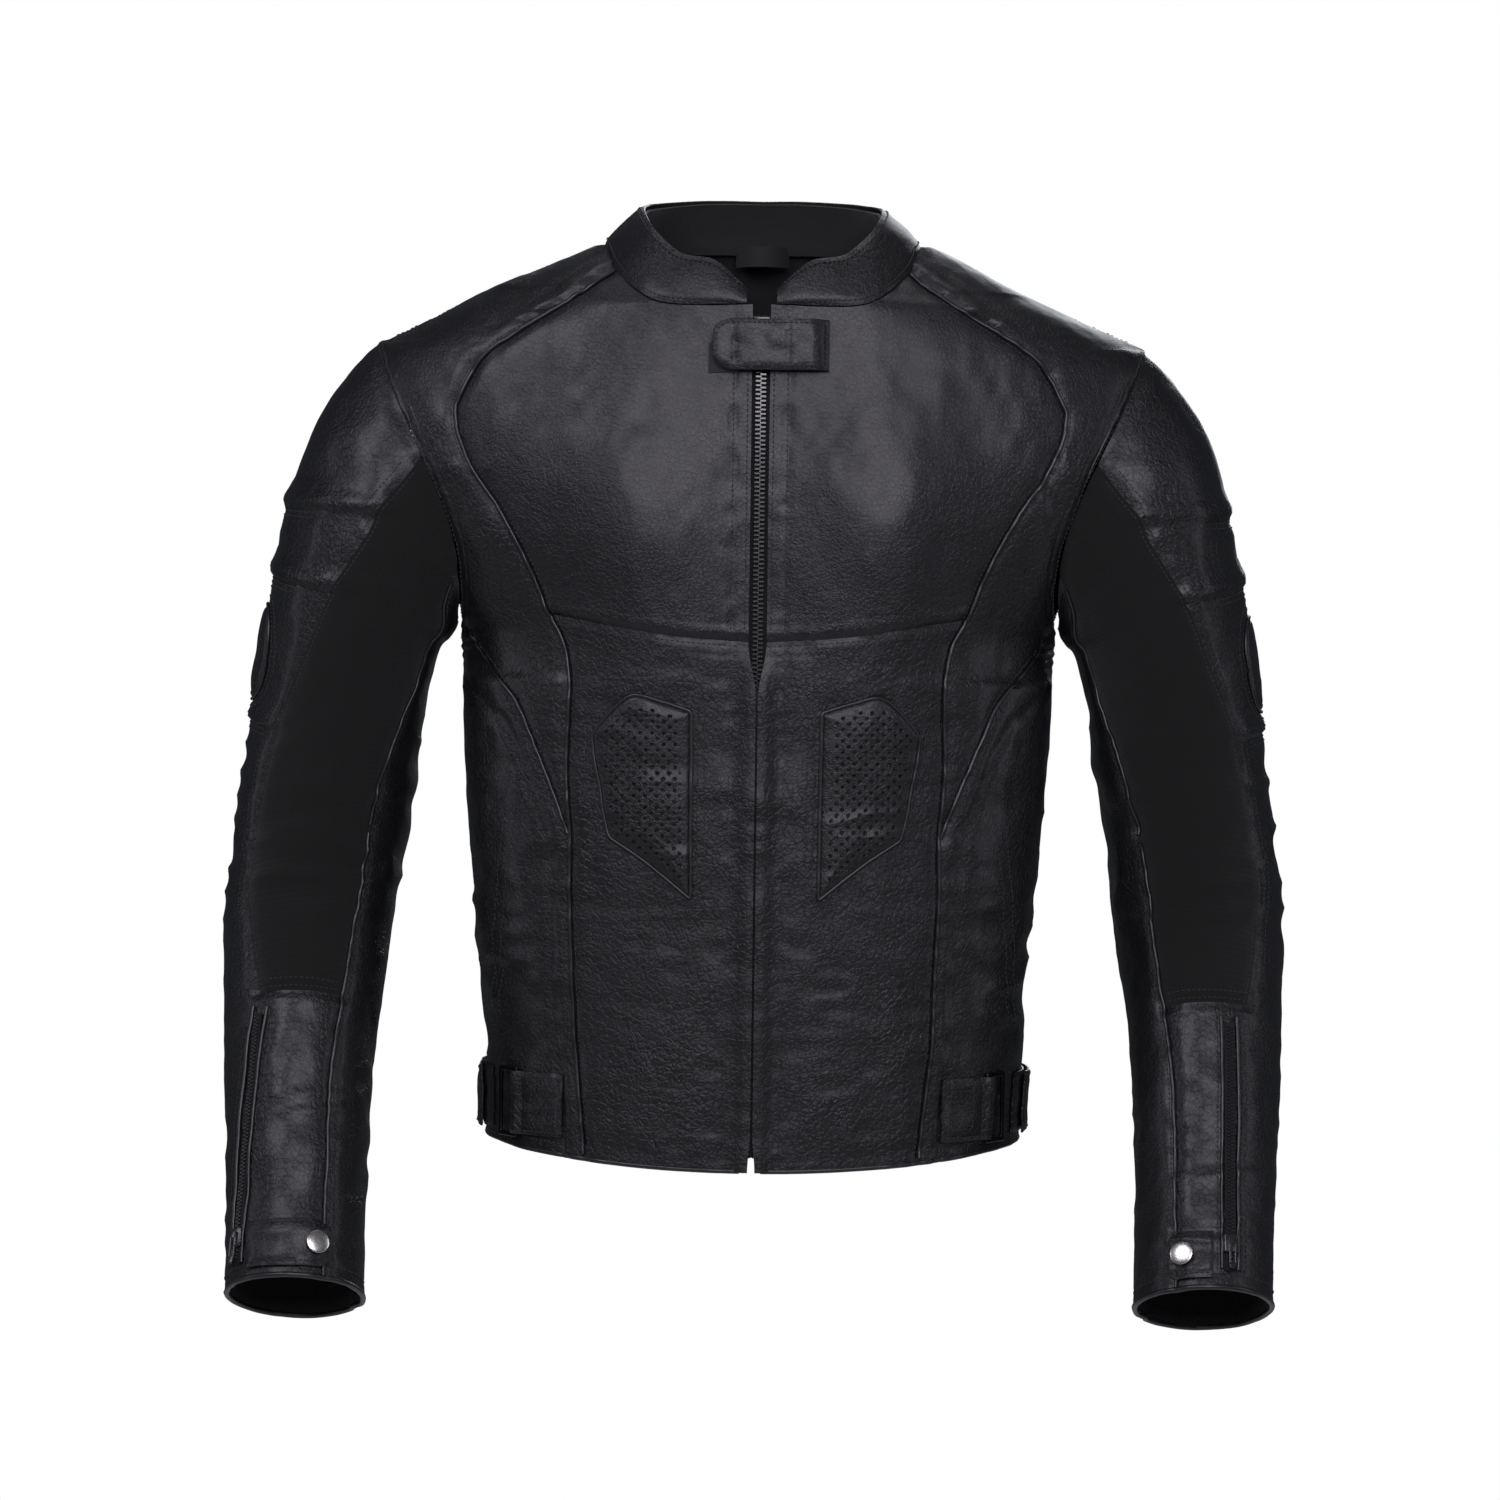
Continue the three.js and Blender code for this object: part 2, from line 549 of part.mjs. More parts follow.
function upperSleeve(place, tag) {
  const backSeam = () => SLEEVE_BACK_SEAM;
  const underSeam = () => SLEEVE_BACK_SEAM + 360;
  const cap = band(UPPER_ROWS.slice(0, CAP_END + 1), backSeam, stretchOuter, 12);
  const upper = band(UPPER_ROWS.slice(CAP_END), backSeam, stretchOuter, 12);
  const stretch = band(UPPER_ROWS, stretchOuter, stretchInner, 4);
  const under = band(UPPER_ROWS, stretchInner, underSeam, 5);
  add(`sleeve_cap_${tag}`, sheet(cap, place, 0, SHELL), LEATHER);
  add(`upper_arm_panel_${tag}`, sheet(upper, place, 0, SHELL), LEATHER);
  add(`upper_stretch_panel_${tag}`, sheet(stretch, place, 0, SHELL), STRETCH);
  add(`underarm_panel_${tag}`, sheet(under, place, 0, SHELL), LEATHER);
  const guard = band(SHOULDER_GUARD.rings, () => -SHOULDER_GUARD.reach, () => SHOULDER_GUARD.reach, 4);
  const inner = PROTECTOR.shoulder + PROTECTOR.thick;
  add(`shoulder_protector_${tag}`, sheet(guard, place, PROTECTOR.shoulder, inner), FOAM);
}

function forearm(place, tag) {
  const backSeam = () => SLEEVE_BACK_SEAM;
  const underSeam = () => SLEEVE_BACK_SEAM + 360;
  const step = STRETCH_END_RING + 0.06;
  const outerRows = [...FORE_ROWS.slice(0, 4), step, ...FORE_ROWS.slice(4)];
  const frontEdge = (ring) => (ring > STRETCH_END_RING ? stretchInner(ring) : stretchOuter(ring));
  add(`forearm_panel_${tag}`, sheet(band(outerRows, backSeam, frontEdge, 12), place, 0, SHELL), LEATHER);
  const stretch = band(FORE_ROWS.slice(0, 4), stretchOuter, stretchInner, 4);
  add(`forearm_stretch_panel_${tag}`, sheet(stretch, place, 0, SHELL), STRETCH);
  const inner = band(outerRows, stretchInner, underSeam, 5);
  add(`forearm_inner_panel_${tag}`, sheet(inner, place, 0, SHELL), LEATHER);
  const guard = band(ELBOW_GUARD.rings, () => ELBOW_GUARD.from, () => ELBOW_GUARD.to, 4);
  const depth = PROTECTOR.elbow + PROTECTOR.thick;
  add(`elbow_protector_${tag}`, sheet(guard, place, PROTECTOR.elbow, depth), FOAM);
}

function cuff(place, tag) {
  const [highAngle, lowAngle] = CUFF_ZIP_ANGLE[tag];
  const high = place(highAngle, CUFF_ZIP.high, 0);
  const low = place(lowAngle, CUFF_ZIP.low, 0);
  const middle = place((highAngle + lowAngle) / 2, (CUFF_ZIP.high + CUFF_ZIP.low) / 2, 0);
  const axis = place(180 + (highAngle + lowAngle) / 2, (CUFF_ZIP.high + CUFF_ZIP.low) / 2, 0);
  const along = high.clone().sub(low);
  const long = along.length();
  along.normalize();
  const outwards = middle.clone().sub(axis);
  outwards.addScaledVector(along, -outwards.dot(along)).normalize();
  const across = along.clone().cross(outwards);
  const chord = high.clone().add(low).divideScalar(2);
  const bow = Math.max(0, middle.clone().sub(chord).dot(outwards));
  const seat = bow + LAY;
  const strips = frameAt(chord.clone().addScaledVector(outwards, seat), across, outwards);
  const tape = block(CUFF_ZIP.wide, long, CUFF_ZIP.thick, 0, 0, CUFF_ZIP.thick / 2);
  add(`cuff_zip_${tag}`, tape, BLACK_METAL, strips);

  const rest = frameAt(
    low.clone().addScaledVector(outwards, seat).addScaledVector(along, CUFF_ZIP.slider / 2 + CUFF_ZIP.start),
    across,
    outwards,
  );
  const reach = CUFF_ZIP.wide / 2 + SLIDER.play;
  const top = CUFF_ZIP.thick + SLIDER.play;
  const { lip, floor, roof } = CUFF_SLIDER;
  const section = new THREE.Shape();
  section.moveTo(-reach - lip, floor);
  for (const [x, y] of [
    [-reach, floor], [-reach, top], [reach, top], [reach, floor], [reach + lip, floor],
    [reach + lip, top + roof], [-reach - lip, top + roof],
  ]) {
    section.lineTo(x, y);
  }
  section.closePath();
  const body = new THREE.ExtrudeGeometry(section, { depth: CUFF_ZIP.slider, bevelEnabled: false });
  body.rotateX(Math.PI / 2).translate(0, CUFF_ZIP.slider / 2, 0);
  add(`cuff_slider_${tag}`, body, NICKEL, rest);
  const face = top + roof + SLIDER.play + CUFF_PULL.thick / 2;
  const pullMiddle = CUFF_PULL.above - CUFF_PULL.long / 2;
  const pull = block(CUFF_PULL.width, CUFF_PULL.long, CUFF_PULL.thick, 0, pullMiddle, face);
  add(`cuff_pull_${tag}`, pull, NICKEL, rest);

  const tab = band(CUFF_TAB.rings, () => lowAngle + CUFF_TAB.start, () => CUFF_TAB.end, 7);
  add(`cuff_tab_${tag}`, sheet(tab, place, -LAY - STRAP_THICK, -LAY), LEATHER);
  const snapRing = CUFF_TAB.rings[1];
  const snapSpot = place(CUFF_TAB.snap, snapRing, -LAY - STRAP_THICK - SNAP.lift);
  const snapIn = place(CUFF_TAB.snap + 180, snapRing, 0);
  const tangent = place(CUFF_TAB.snap + 1, snapRing, 0).sub(place(CUFF_TAB.snap - 1, snapRing, 0));
  const facing = snapSpot.clone().sub(snapIn);
  facing.addScaledVector(tangent, -facing.dot(tangent) / tangent.lengthSq());
  const snapFrame = frameAt(snapSpot, tangent, facing.normalize());
  const cap = new THREE.CylinderGeometry(SNAP.radius * 0.7, SNAP.radius, SNAP.thick, 20);
  cap.rotateX(Math.PI / 2).translate(0, 0, SNAP.thick / 2);
  add(`snap_cap_${tag}`, cap, NICKEL, snapFrame);
}

// ---- Assembly ------------------------------------------------------------------

back();
collar();
hangerLoop();
frontZip();
windFlap();
throatStrap();
for (const [tag, side] of [['l', 1], ['r', -1]]) {
  const torso = mirrored(onTorso, side);
  const sleeve = mirrored(onSleeve, side);
  fronts(torso, tag);
  bellyPad(torso, tag);
  waistAdjuster(side, torso, tag);
  upperSleeve(sleeve, tag);
  forearm(sleeve, tag);
  cuff(sleeve, tag);
}

export default group;
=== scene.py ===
# %% [markdown]
# # A leather riding jacket on its neck loop
# The jacket is soft, so almost every piece is a thin sheet that follows one of two smooth
# surfaces: the torso and the sleeve. Each surface is a small function from two numbers to a
# point. Seams, stitches, piping and pads are then all laid on the same surface, which keeps
# them together. Cutting one big sculpt would be freer, but the seams would not meet so exactly.

# %% Frame and libraries
import math

import bpy
import numpy as np
from mathutils import Matrix, Vector


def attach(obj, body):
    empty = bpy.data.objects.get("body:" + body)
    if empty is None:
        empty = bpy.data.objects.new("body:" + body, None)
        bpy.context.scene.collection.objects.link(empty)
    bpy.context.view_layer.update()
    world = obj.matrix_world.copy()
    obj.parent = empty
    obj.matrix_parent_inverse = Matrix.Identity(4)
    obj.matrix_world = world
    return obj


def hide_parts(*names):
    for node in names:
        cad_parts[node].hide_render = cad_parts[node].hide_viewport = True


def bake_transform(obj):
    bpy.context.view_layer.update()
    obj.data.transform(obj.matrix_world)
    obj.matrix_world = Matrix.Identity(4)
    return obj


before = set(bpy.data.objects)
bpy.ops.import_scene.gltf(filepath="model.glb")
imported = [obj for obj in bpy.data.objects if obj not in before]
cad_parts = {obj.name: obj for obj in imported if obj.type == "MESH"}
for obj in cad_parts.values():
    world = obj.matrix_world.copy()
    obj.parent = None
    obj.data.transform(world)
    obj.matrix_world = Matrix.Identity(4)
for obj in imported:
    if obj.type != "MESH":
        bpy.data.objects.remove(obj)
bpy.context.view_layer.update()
bpy.ops.object.select_all(action="DESELECT")
MM = 0.001
SIDES = (("l", 1), ("r", -1))

# %% [markdown]
# ## Smooth profiles and the two surfaces
# A profile is a smooth curve through a few knots. The torso is a stack of squarish ovals,
# named by degrees round the body and height. The sleeve is a row of tilted ovals, named by
# degrees round from its outer line and ring number. Millimetres are used until the mesh.

# %% Profiles
def profile(knots):
    x = np.array([knot[0] for knot in knots], float)
    y = np.array([knot[1] for knot in knots], float)
    slope = np.empty(len(x))
    slope[1:-1] = (y[2:] - y[:-2]) / (x[2:] - x[:-2])
    slope[0] = (y[1] - y[0]) / (x[1] - x[0])
    slope[-1] = (y[-1] - y[-2]) / (x[-1] - x[-2])

    def value(at):
        at = np.asarray(at, float)
        i = np.clip(np.searchsorted(x, at, side="right") - 1, 0, len(x) - 2)
        span = x[i + 1] - x[i]
        t = (at - x[i]) / span
        rise = 3 * t**2 - 2 * t**3
        start = t * (1 - t) ** 2 * span * slope[i]
        end = t**2 * (1 - t) * span * slope[i + 1]
        return y[i] * (1 - rise) + y[i + 1] * rise + start - end

    return value


def unit(v):
    return v / np.maximum(np.linalg.norm(v, axis=-1, keepdims=True), 1e-9)


def spline(points):
    """A smooth curve through points; its parameter goes from 0 to 1 by length."""
    points = np.array(points, float)
    along = np.concatenate([[0], np.cumsum(np.linalg.norm(np.diff(points, axis=0), axis=1))])
    along /= along[-1]
    parts = [profile(np.stack([along, points[:, k]], 1)) for k in range(points.shape[1])]
    return lambda t: np.stack([part(t) for part in parts], -1)


# %% Torso surface
MID_Y = -49
NECK_X, NECK_Z = 105, 5
TIP_X, TIP_Z = 255, -63
UNDERARM_X, UNDERARM_Z = 198, -250
ARM_DEPTH, ARM_SCOOP, ARM_OPENNESS = 62, 16, 0.15
HEM_Z, HEM_LIFT = -600, 12
SQUARENESS = 2.3
side_width = profile([(-600, 176), (-505, 179), (-415, 187), (-330, 194), (-262, 198), (-250, 198)])
front_depth = profile([(-600, 114), (-41, 84), (-30, 77), (-17, 66), (5, 44), (40, 20)])
back_depth = profile([
    (-600, 100), (-415, 106), (-262, 116), (-150, 110), (-110, 104), (-63, 92), (-39, 84), (-17, 74), (8, 62),
])
CHEST_SWELL, CHEST_X, CHEST_Z, CHEST_WIDE, CHEST_HIGH = 14, 85, -190, 55, 90


def side_x(z):
    z = np.asarray(z, float)
    ridge = TIP_X + (NECK_X - TIP_X) * (z - TIP_Z) / (NECK_Z - TIP_Z)
    armhole = UNDERARM_X + (TIP_X - UNDERARM_X) * (z - UNDERARM_Z) / (TIP_Z - UNDERARM_Z)
    return np.where(z >= TIP_Z, ridge, np.where(z >= UNDERARM_Z, armhole, side_width(z)))


def armhole_depth(z):
    t = (np.asarray(z, float) - (TIP_Z + UNDERARM_Z) / 2) / ((TIP_Z - UNDERARM_Z) / 2)
    return ARM_DEPTH * np.sqrt(np.clip(1 - t * t, 0, None))


def scoop(z):
    t = np.clip((TIP_Z - np.asarray(z, float)) / (TIP_Z - UNDERARM_Z), 0, 1)
    return ARM_SCOOP * np.sin(np.pi * t**1.6)


SOFT_OFFSETS = np.linspace(-26, 26, 9)
SOFT_WEIGHTS = (28 - np.abs(SOFT_OFFSETS)) / np.sum(28 - np.abs(SOFT_OFFSETS))
EDGE_POWER = 14


def soft_side_x(z):
    """The side line with its corners at the shoulder tip and underarm rounded off."""
    return sum(weight * side_x(z + offset) for weight, offset in zip(SOFT_WEIGHTS, SOFT_OFFSETS))


def soft_opening(z):
    t = np.clip((z - (TIP_Z + UNDERARM_Z) / 2) / 128, -1, 1)
    return ARM_DEPTH * (1 - t * t) ** 1.4


def torso_x(sine, z, front):
    """Exact at the side edge, where the sleeve is sewn on, and rounded away from it."""
    size = np.abs(sine)
    edge = size**EDGE_POWER
    width = soft_side_x(z) * (1 - edge) + side_x(z) * edge
    return sine * (width - np.where(front, scoop(z), 0) * size**8)


def on_torso(angle, z, inset=0.0):
    angle, z = np.broadcast_arrays(np.asarray(angle, float), np.asarray(z, float))
    front = np.cos(np.radians(angle)) > 0
    sine = np.sin(np.radians(angle))
    edge_share = np.abs(sine) ** EDGE_POWER
    edge = soft_opening(z) * (1 - edge_share) + armhole_depth(z) * edge_share
    edge = np.clip(edge - inset, 0, None)
    turn = 1 - ARM_OPENNESS * soft_opening(z) / ARM_DEPTH
    around = lambda s: np.clip(1 - np.abs(s) ** SQUARENESS, 0, None) ** (1 / SQUARENESS)
    rest = around(turn)
    share = (around(turn * sine) - rest) / (1 - rest)
    full = np.where(front, front_depth(z), back_depth(z)) - inset
    x = torso_x(sine, z, front) - inset * sine
    swell = np.exp(-(((np.abs(x) - CHEST_X) / CHEST_WIDE) ** 2) - ((z - CHEST_Z) / CHEST_HIGH) ** 2)
    y = edge + (full - edge) * share + np.where(front, CHEST_SWELL * swell * (1 - sine**4), 0)
    return np.stack([x, MID_Y + np.where(front, -y, y), z], -1)


def at(x, z):
    """The chart point of a place on the front, by halving."""
    x, z = np.broadcast_arrays(np.asarray(x, float), np.asarray(z, float))
    low, high = np.zeros(x.shape), np.full(x.shape, 0.999998)
    for _ in range(34):
        middle = (low + high) / 2
        short = torso_x(middle, z, True) < np.abs(x)
        low, high = np.where(short, middle, low), np.where(short, high, middle)
    return np.stack([np.sign(x) * np.degrees(np.arcsin((low + high) / 2)), z], -1)


def hem(angle):
    return HEM_Z + HEM_LIFT * np.sin(np.radians(angle)) ** 2


# %% Sleeve surface
RINGS = [
    (TIP_X, TIP_Z, UNDERARM_X, UNDERARM_Z, ARM_DEPTH, 0, 0),
    (290, -107, 200, -254, 66, -1, 0),
    (311, -165, 205, -260, 66, -2, 0),
    (322, -222, 212, -269, 64, -2, 0),
    (332, -286, 221, -303, 61, 1, 0),
    (340, -337, 227, -348, 59, 5, 2),
    (347, -392, 234, -392, 58, 6, 8),
    (352, -442, 240, -442, 56, -6, 18),
    (349, -505, 247, -505, 52, -36, 25),
    (345, -556, 250, -556, 48, -61, 27),
    (340, -618, 250, -618, 45, -88, 27),
    (337, -683, 247, -683, 46, -117, 26),
]
outer_x, outer_z, inner_x, inner_z, sleeve_depth, sleeve_y, sleeve_tilt = (
    profile([(i, ring[k]) for i, ring in enumerate(RINGS)]) for k in range(7)
)
ELBOW, STRETCH_END, CUFF = 6, 8.1, 11
BACK_SEAM = -150
stretch_outer = profile([
    (0, 80), (1.3, 87), (2.1, 82), (2.95, 73.5), (3.65, 64.5), (4.27, 55), (5.1, 49), (6, 47.5), (6.85, 49),
    (7.57, 55), (8.1, 62),
])
stretch_inner = profile([
    (0, 130), (1, 147), (2, 156), (3, 156), (3.7, 153), (4.35, 144), (5.1, 134), (6.1, 131), (7, 130.5),
    (8.1, 128), (9, 123), (11, 119),
])


def on_sleeve(angle, ring, inset=0.0):
    angle, ring = np.broadcast_arrays(np.asarray(angle, float), np.asarray(ring, float))
    half_x = (outer_x(ring) - inner_x(ring)) / 2
    half_z = (outer_z(ring) - inner_z(ring)) / 2
    across = np.cos(np.radians(angle)) * (1 - inset / np.hypot(half_x, half_z))
    depth = np.sin(np.radians(angle)) * (sleeve_depth(ring) - inset)
    tilt = np.radians(sleeve_tilt(ring))
    x = (outer_x(ring) + inner_x(ring)) / 2 + half_x * across
    z = (outer_z(ring) + inner_z(ring)) / 2 + half_z * across + depth * np.sin(tilt)
    x = x - np.where(depth > 0, scoop(z) * np.clip(1 - ring, 0, None), 0)
    return np.stack([x, MID_Y + sleeve_y(ring) - depth * np.cos(tilt), z], -1)


def ring_at(angle, z):
    """The ring number where the sleeve reaches a height, at an angle round it."""
    low, high = np.zeros_like(angle, float), np.full_like(angle, CUFF, float)
    for _ in range(30):
        middle = (low + high) / 2
        above = on_sleeve(angle, middle)[..., 2] > z
        low, high = np.where(above, middle, low), np.where(above, high, middle)
    return (low + high) / 2


def mirrored(place, side):
    return lambda a, b, inset=0.0: place(a, b, inset) * [side, 1, 1]


def normals(place, a, b, step_b):
    step_a = 0.04
    along = place(a + step_a, b) - place(a - step_a, b)
    up = place(a, b + step_b) - place(a, b - step_b)
    normal = unit(np.cross(along, up))
    outwards = place(a, b, -1.0) - place(a, b, 1.0)
    return normal * np.sign(np.sum(normal * outwards, -1, keepdims=True))


print("collar to hem:", NECK_Z - HEM_Z, "mm")

# %% [markdown]
# ## Seams and the relief of the leather
# Leather pulls down into every seam and swells a little between seams. Every seam is kept as a
# line on the surface, and the height of the leather at any point is worked out from its
# distance to those lines, plus seeded noise for soft folds. A cloth simulation gives freer
# folds, but none is run here; the padded pieces get a crown, where the swelling is what shows.

# %% Noise and seam distance
def smooth(t):
    t = np.clip(t, 0, 1)
    return t * t * (3 - 2 * t)


def lattice(cell, seed):
    cell = cell.astype(np.int64)
    n = cell[..., 0] * 374761393 + cell[..., 1] * 668265263 + cell[..., 2] * 2147483647 + seed * 974634777
    n = ((n ^ (n >> 13)) * 1274126177) & 0xFFFFFFFF
    return ((n ^ (n >> 16)) & 0xFFFF) / 32767.5 - 1


def noise(points, size, seed):
    p = points / np.asarray(size, float)
    cell = np.floor(p)
    f = p - cell
    f = f * f * (3 - 2 * f)
    total = 0
    for corner in np.ndindex(2, 2, 2):
        corner = np.array(corner)
        weight = np.prod(np.where(corner, f, 1 - f), -1)
        total = total + weight * lattice(cell + corner, seed)
    return total


def distance_to(points, path):
    """Distance of each point to a path, and how far above it; far points stay at a large value."""
    flat = points.reshape(-1, 3)
    found = np.full(len(flat), 99.0)
    above = np.full(len(flat), 99.0)
    near = np.all((flat > path.min(0) - 16) & (flat < path.max(0) + 16), 1)
    chosen = np.nonzero(near)[0]
    for start in range(0, len(chosen), 4000):
        some = chosen[start : start + 4000]
        gap = flat[some, None, :] - path[None, :, :]
        squares = (gap**2).sum(-1)
        nearest = squares.argmin(1)
        found[some] = np.sqrt(squares[np.arange(len(some)), nearest])
        above[some] = gap[np.arange(len(some)), nearest, 2]
    return found.reshape(points.shape[:-1]), above.reshape(points.shape[:-1])


class Seam:
    """A sewn line: its path on the surface, how deep it pulls in and its rows of stitches."""

    def __init__(self, place, chart, depth, width, rows=(), lap=0.0):
        self.chart, self.depth, self.width, self.rows, self.lap = chart, depth, width, rows, lap
        self.place = place
        self.path = place(chart[:, 0], chart[:, 1])

    def height(self, points):
        away, above = distance_to(points, self.path)
        total = -self.depth * np.exp(-((away / self.width) ** 2))
        if self.lap:
            edge = 1 / (1 + np.exp(-np.clip(above, -30, 30) * 3.2))
            total = total + self.lap * edge * np.exp(-np.clip(away - 7, 0, 99) / 6)
        pucker = np.exp(-np.clip(away, 0, 40) / 5.0) * (away < 30)
        total = total + 0.75 * pucker * noise(points, 5.5, 17) * (self.depth > 0.4)
        for row in self.rows:
            total = total - 0.55 * np.exp(-(((away - abs(row)) / 1.1) ** 2))
        return total


def pulled(points, seams):
    total = 0
    for seam in seams:
        total = total + seam.height(points)
    return total


def ridged(points, size, seed):
    """Soft valleys with sharper crests, as leather creases."""
    bent = points + 0.35 * np.min(size) * noise(points, np.asarray(size) * 1.7, seed + 50)[..., None]
    return 1 - 2.2 * np.abs(noise(bent, size, seed))


def torso_folds(points):
    z = points[..., 2]
    total = 1.6 * noise(points, (60, 60, 90), 11) + 0.8 * noise(points, (24, 24, 40), 12)
    total = total + 0.35 * noise(points, (9, 9, 13), 13)
    low = smooth((-262 - z) / 20)
    outer = np.clip(np.abs(points[..., 0]) / 185, 0, 1) ** 2
    waist = np.exp(-(((z + 470) / 85) ** 2)) * outer
    total = total + 2.2 * waist * ridged(points, (70, 50, 17), 14) + 0.5 * low * ridged(points, (26, 26, 13), 15)
    hem_wave = np.exp(-(((z + 600) / 22) ** 2)) * 1.1 * noise(points, (30, 30, 60), 16)
    side = np.exp(-(((np.abs(points[..., 0]) - 190) / 12) ** 2) - ((z + 262) / 14) ** 2)
    arm = np.exp(-(((np.abs(points[..., 0]) - 196) / 26) ** 2) - ((z + 190) / 60) ** 2)
    total = total + 1.6 * arm * ridged(points, (16, 30, 40), 18)
    return total + hem_wave + 1.2 * side * np.sin(z * 2 * np.pi / 6.5)


def sleeve_folds(points):
    z = points[..., 2]
    total = 1.3 * noise(points, (40, 40, 60), 21) + 0.6 * noise(points, (18, 18, 22), 22)
    elbow = np.exp(-(((z + 385) / 75) ** 2))
    wrist = np.exp(-(((z + 600) / 60) ** 2))
    upper = np.exp(-(((z + 190) / 70) ** 2))
    total = total + 2.5 * elbow * ridged(points, (50, 46, 17), 23) + 1.2 * wrist * ridged(points, (40, 40, 14), 24)
    total = total + 0.9 * upper * ridged(points, (34, 34, 22), 27)
    return total + 0.35 * noise(points, (8, 8, 10), 26)


# %% Seam lines of the torso, as x and height on the front
FRONT_EDGE = 5.9
PIPING = [
    (108, -599), (111, -566), (116, -520), (118, -474), (120, -422), (120, -385), (123, -340), (122, -290),
    (126, -263), (136, -243), (151, -208), (169, -175), (186, -150), (197, -125), (199, -108), (184, -79),
    (165, -63), (127, -39), (96, -17),
]
PIPING_LOW, PIPING_MIDDLE, PIPING_HIGH = PIPING[:10], PIPING[9:15], PIPING[:13:-1]
SIDE_PIPING = [(192, -254), (184, -267), (170, -284), (157, -300), (146, -324), (137, -345), (129, -364), (121, -386)]
SIDE_SEAM = [
    (193, -289), (177, -303), (165, -314), (157, -328), (146, -358), (134, -390), (131, -420), (131, -475),
    (128, -525), (123, -562), (121, -598),
]
POCKET = [(153, -345), (157, -378), (161, -412), (164, -455), (166, -505)]
CHEST_SEAM = [(FRONT_EDGE, -259), (60, -255), (136, -243)]
NECK_SEAM = [(FRONT_EDGE, -41), (40, -42), (67, -40), (84, -30), (96, -17)]
YOKE_LINE = [(101, -8), (114, -14), (147, -36), (171, -53), (185, -66), (190, -76), (187, -86)]
BACK_PRINCESS = [(92, -160), (112, -190), (132, -240), (140, -300), (139, -400), (136, -500), (137, -599)]


def front_line(points, count=120):
    curve = spline(points)(np.linspace(0, 1, count))
    return at(curve[:, 0], curve[:, 1])


def piping_line():
    return np.concatenate([front_line(PIPING_LOW), front_line(PIPING_MIDDLE, 90), front_line(PIPING_HIGH[::-1], 90)])


def polar_line(points, count=120):
    return spline(points)(np.linspace(0, 1, count))


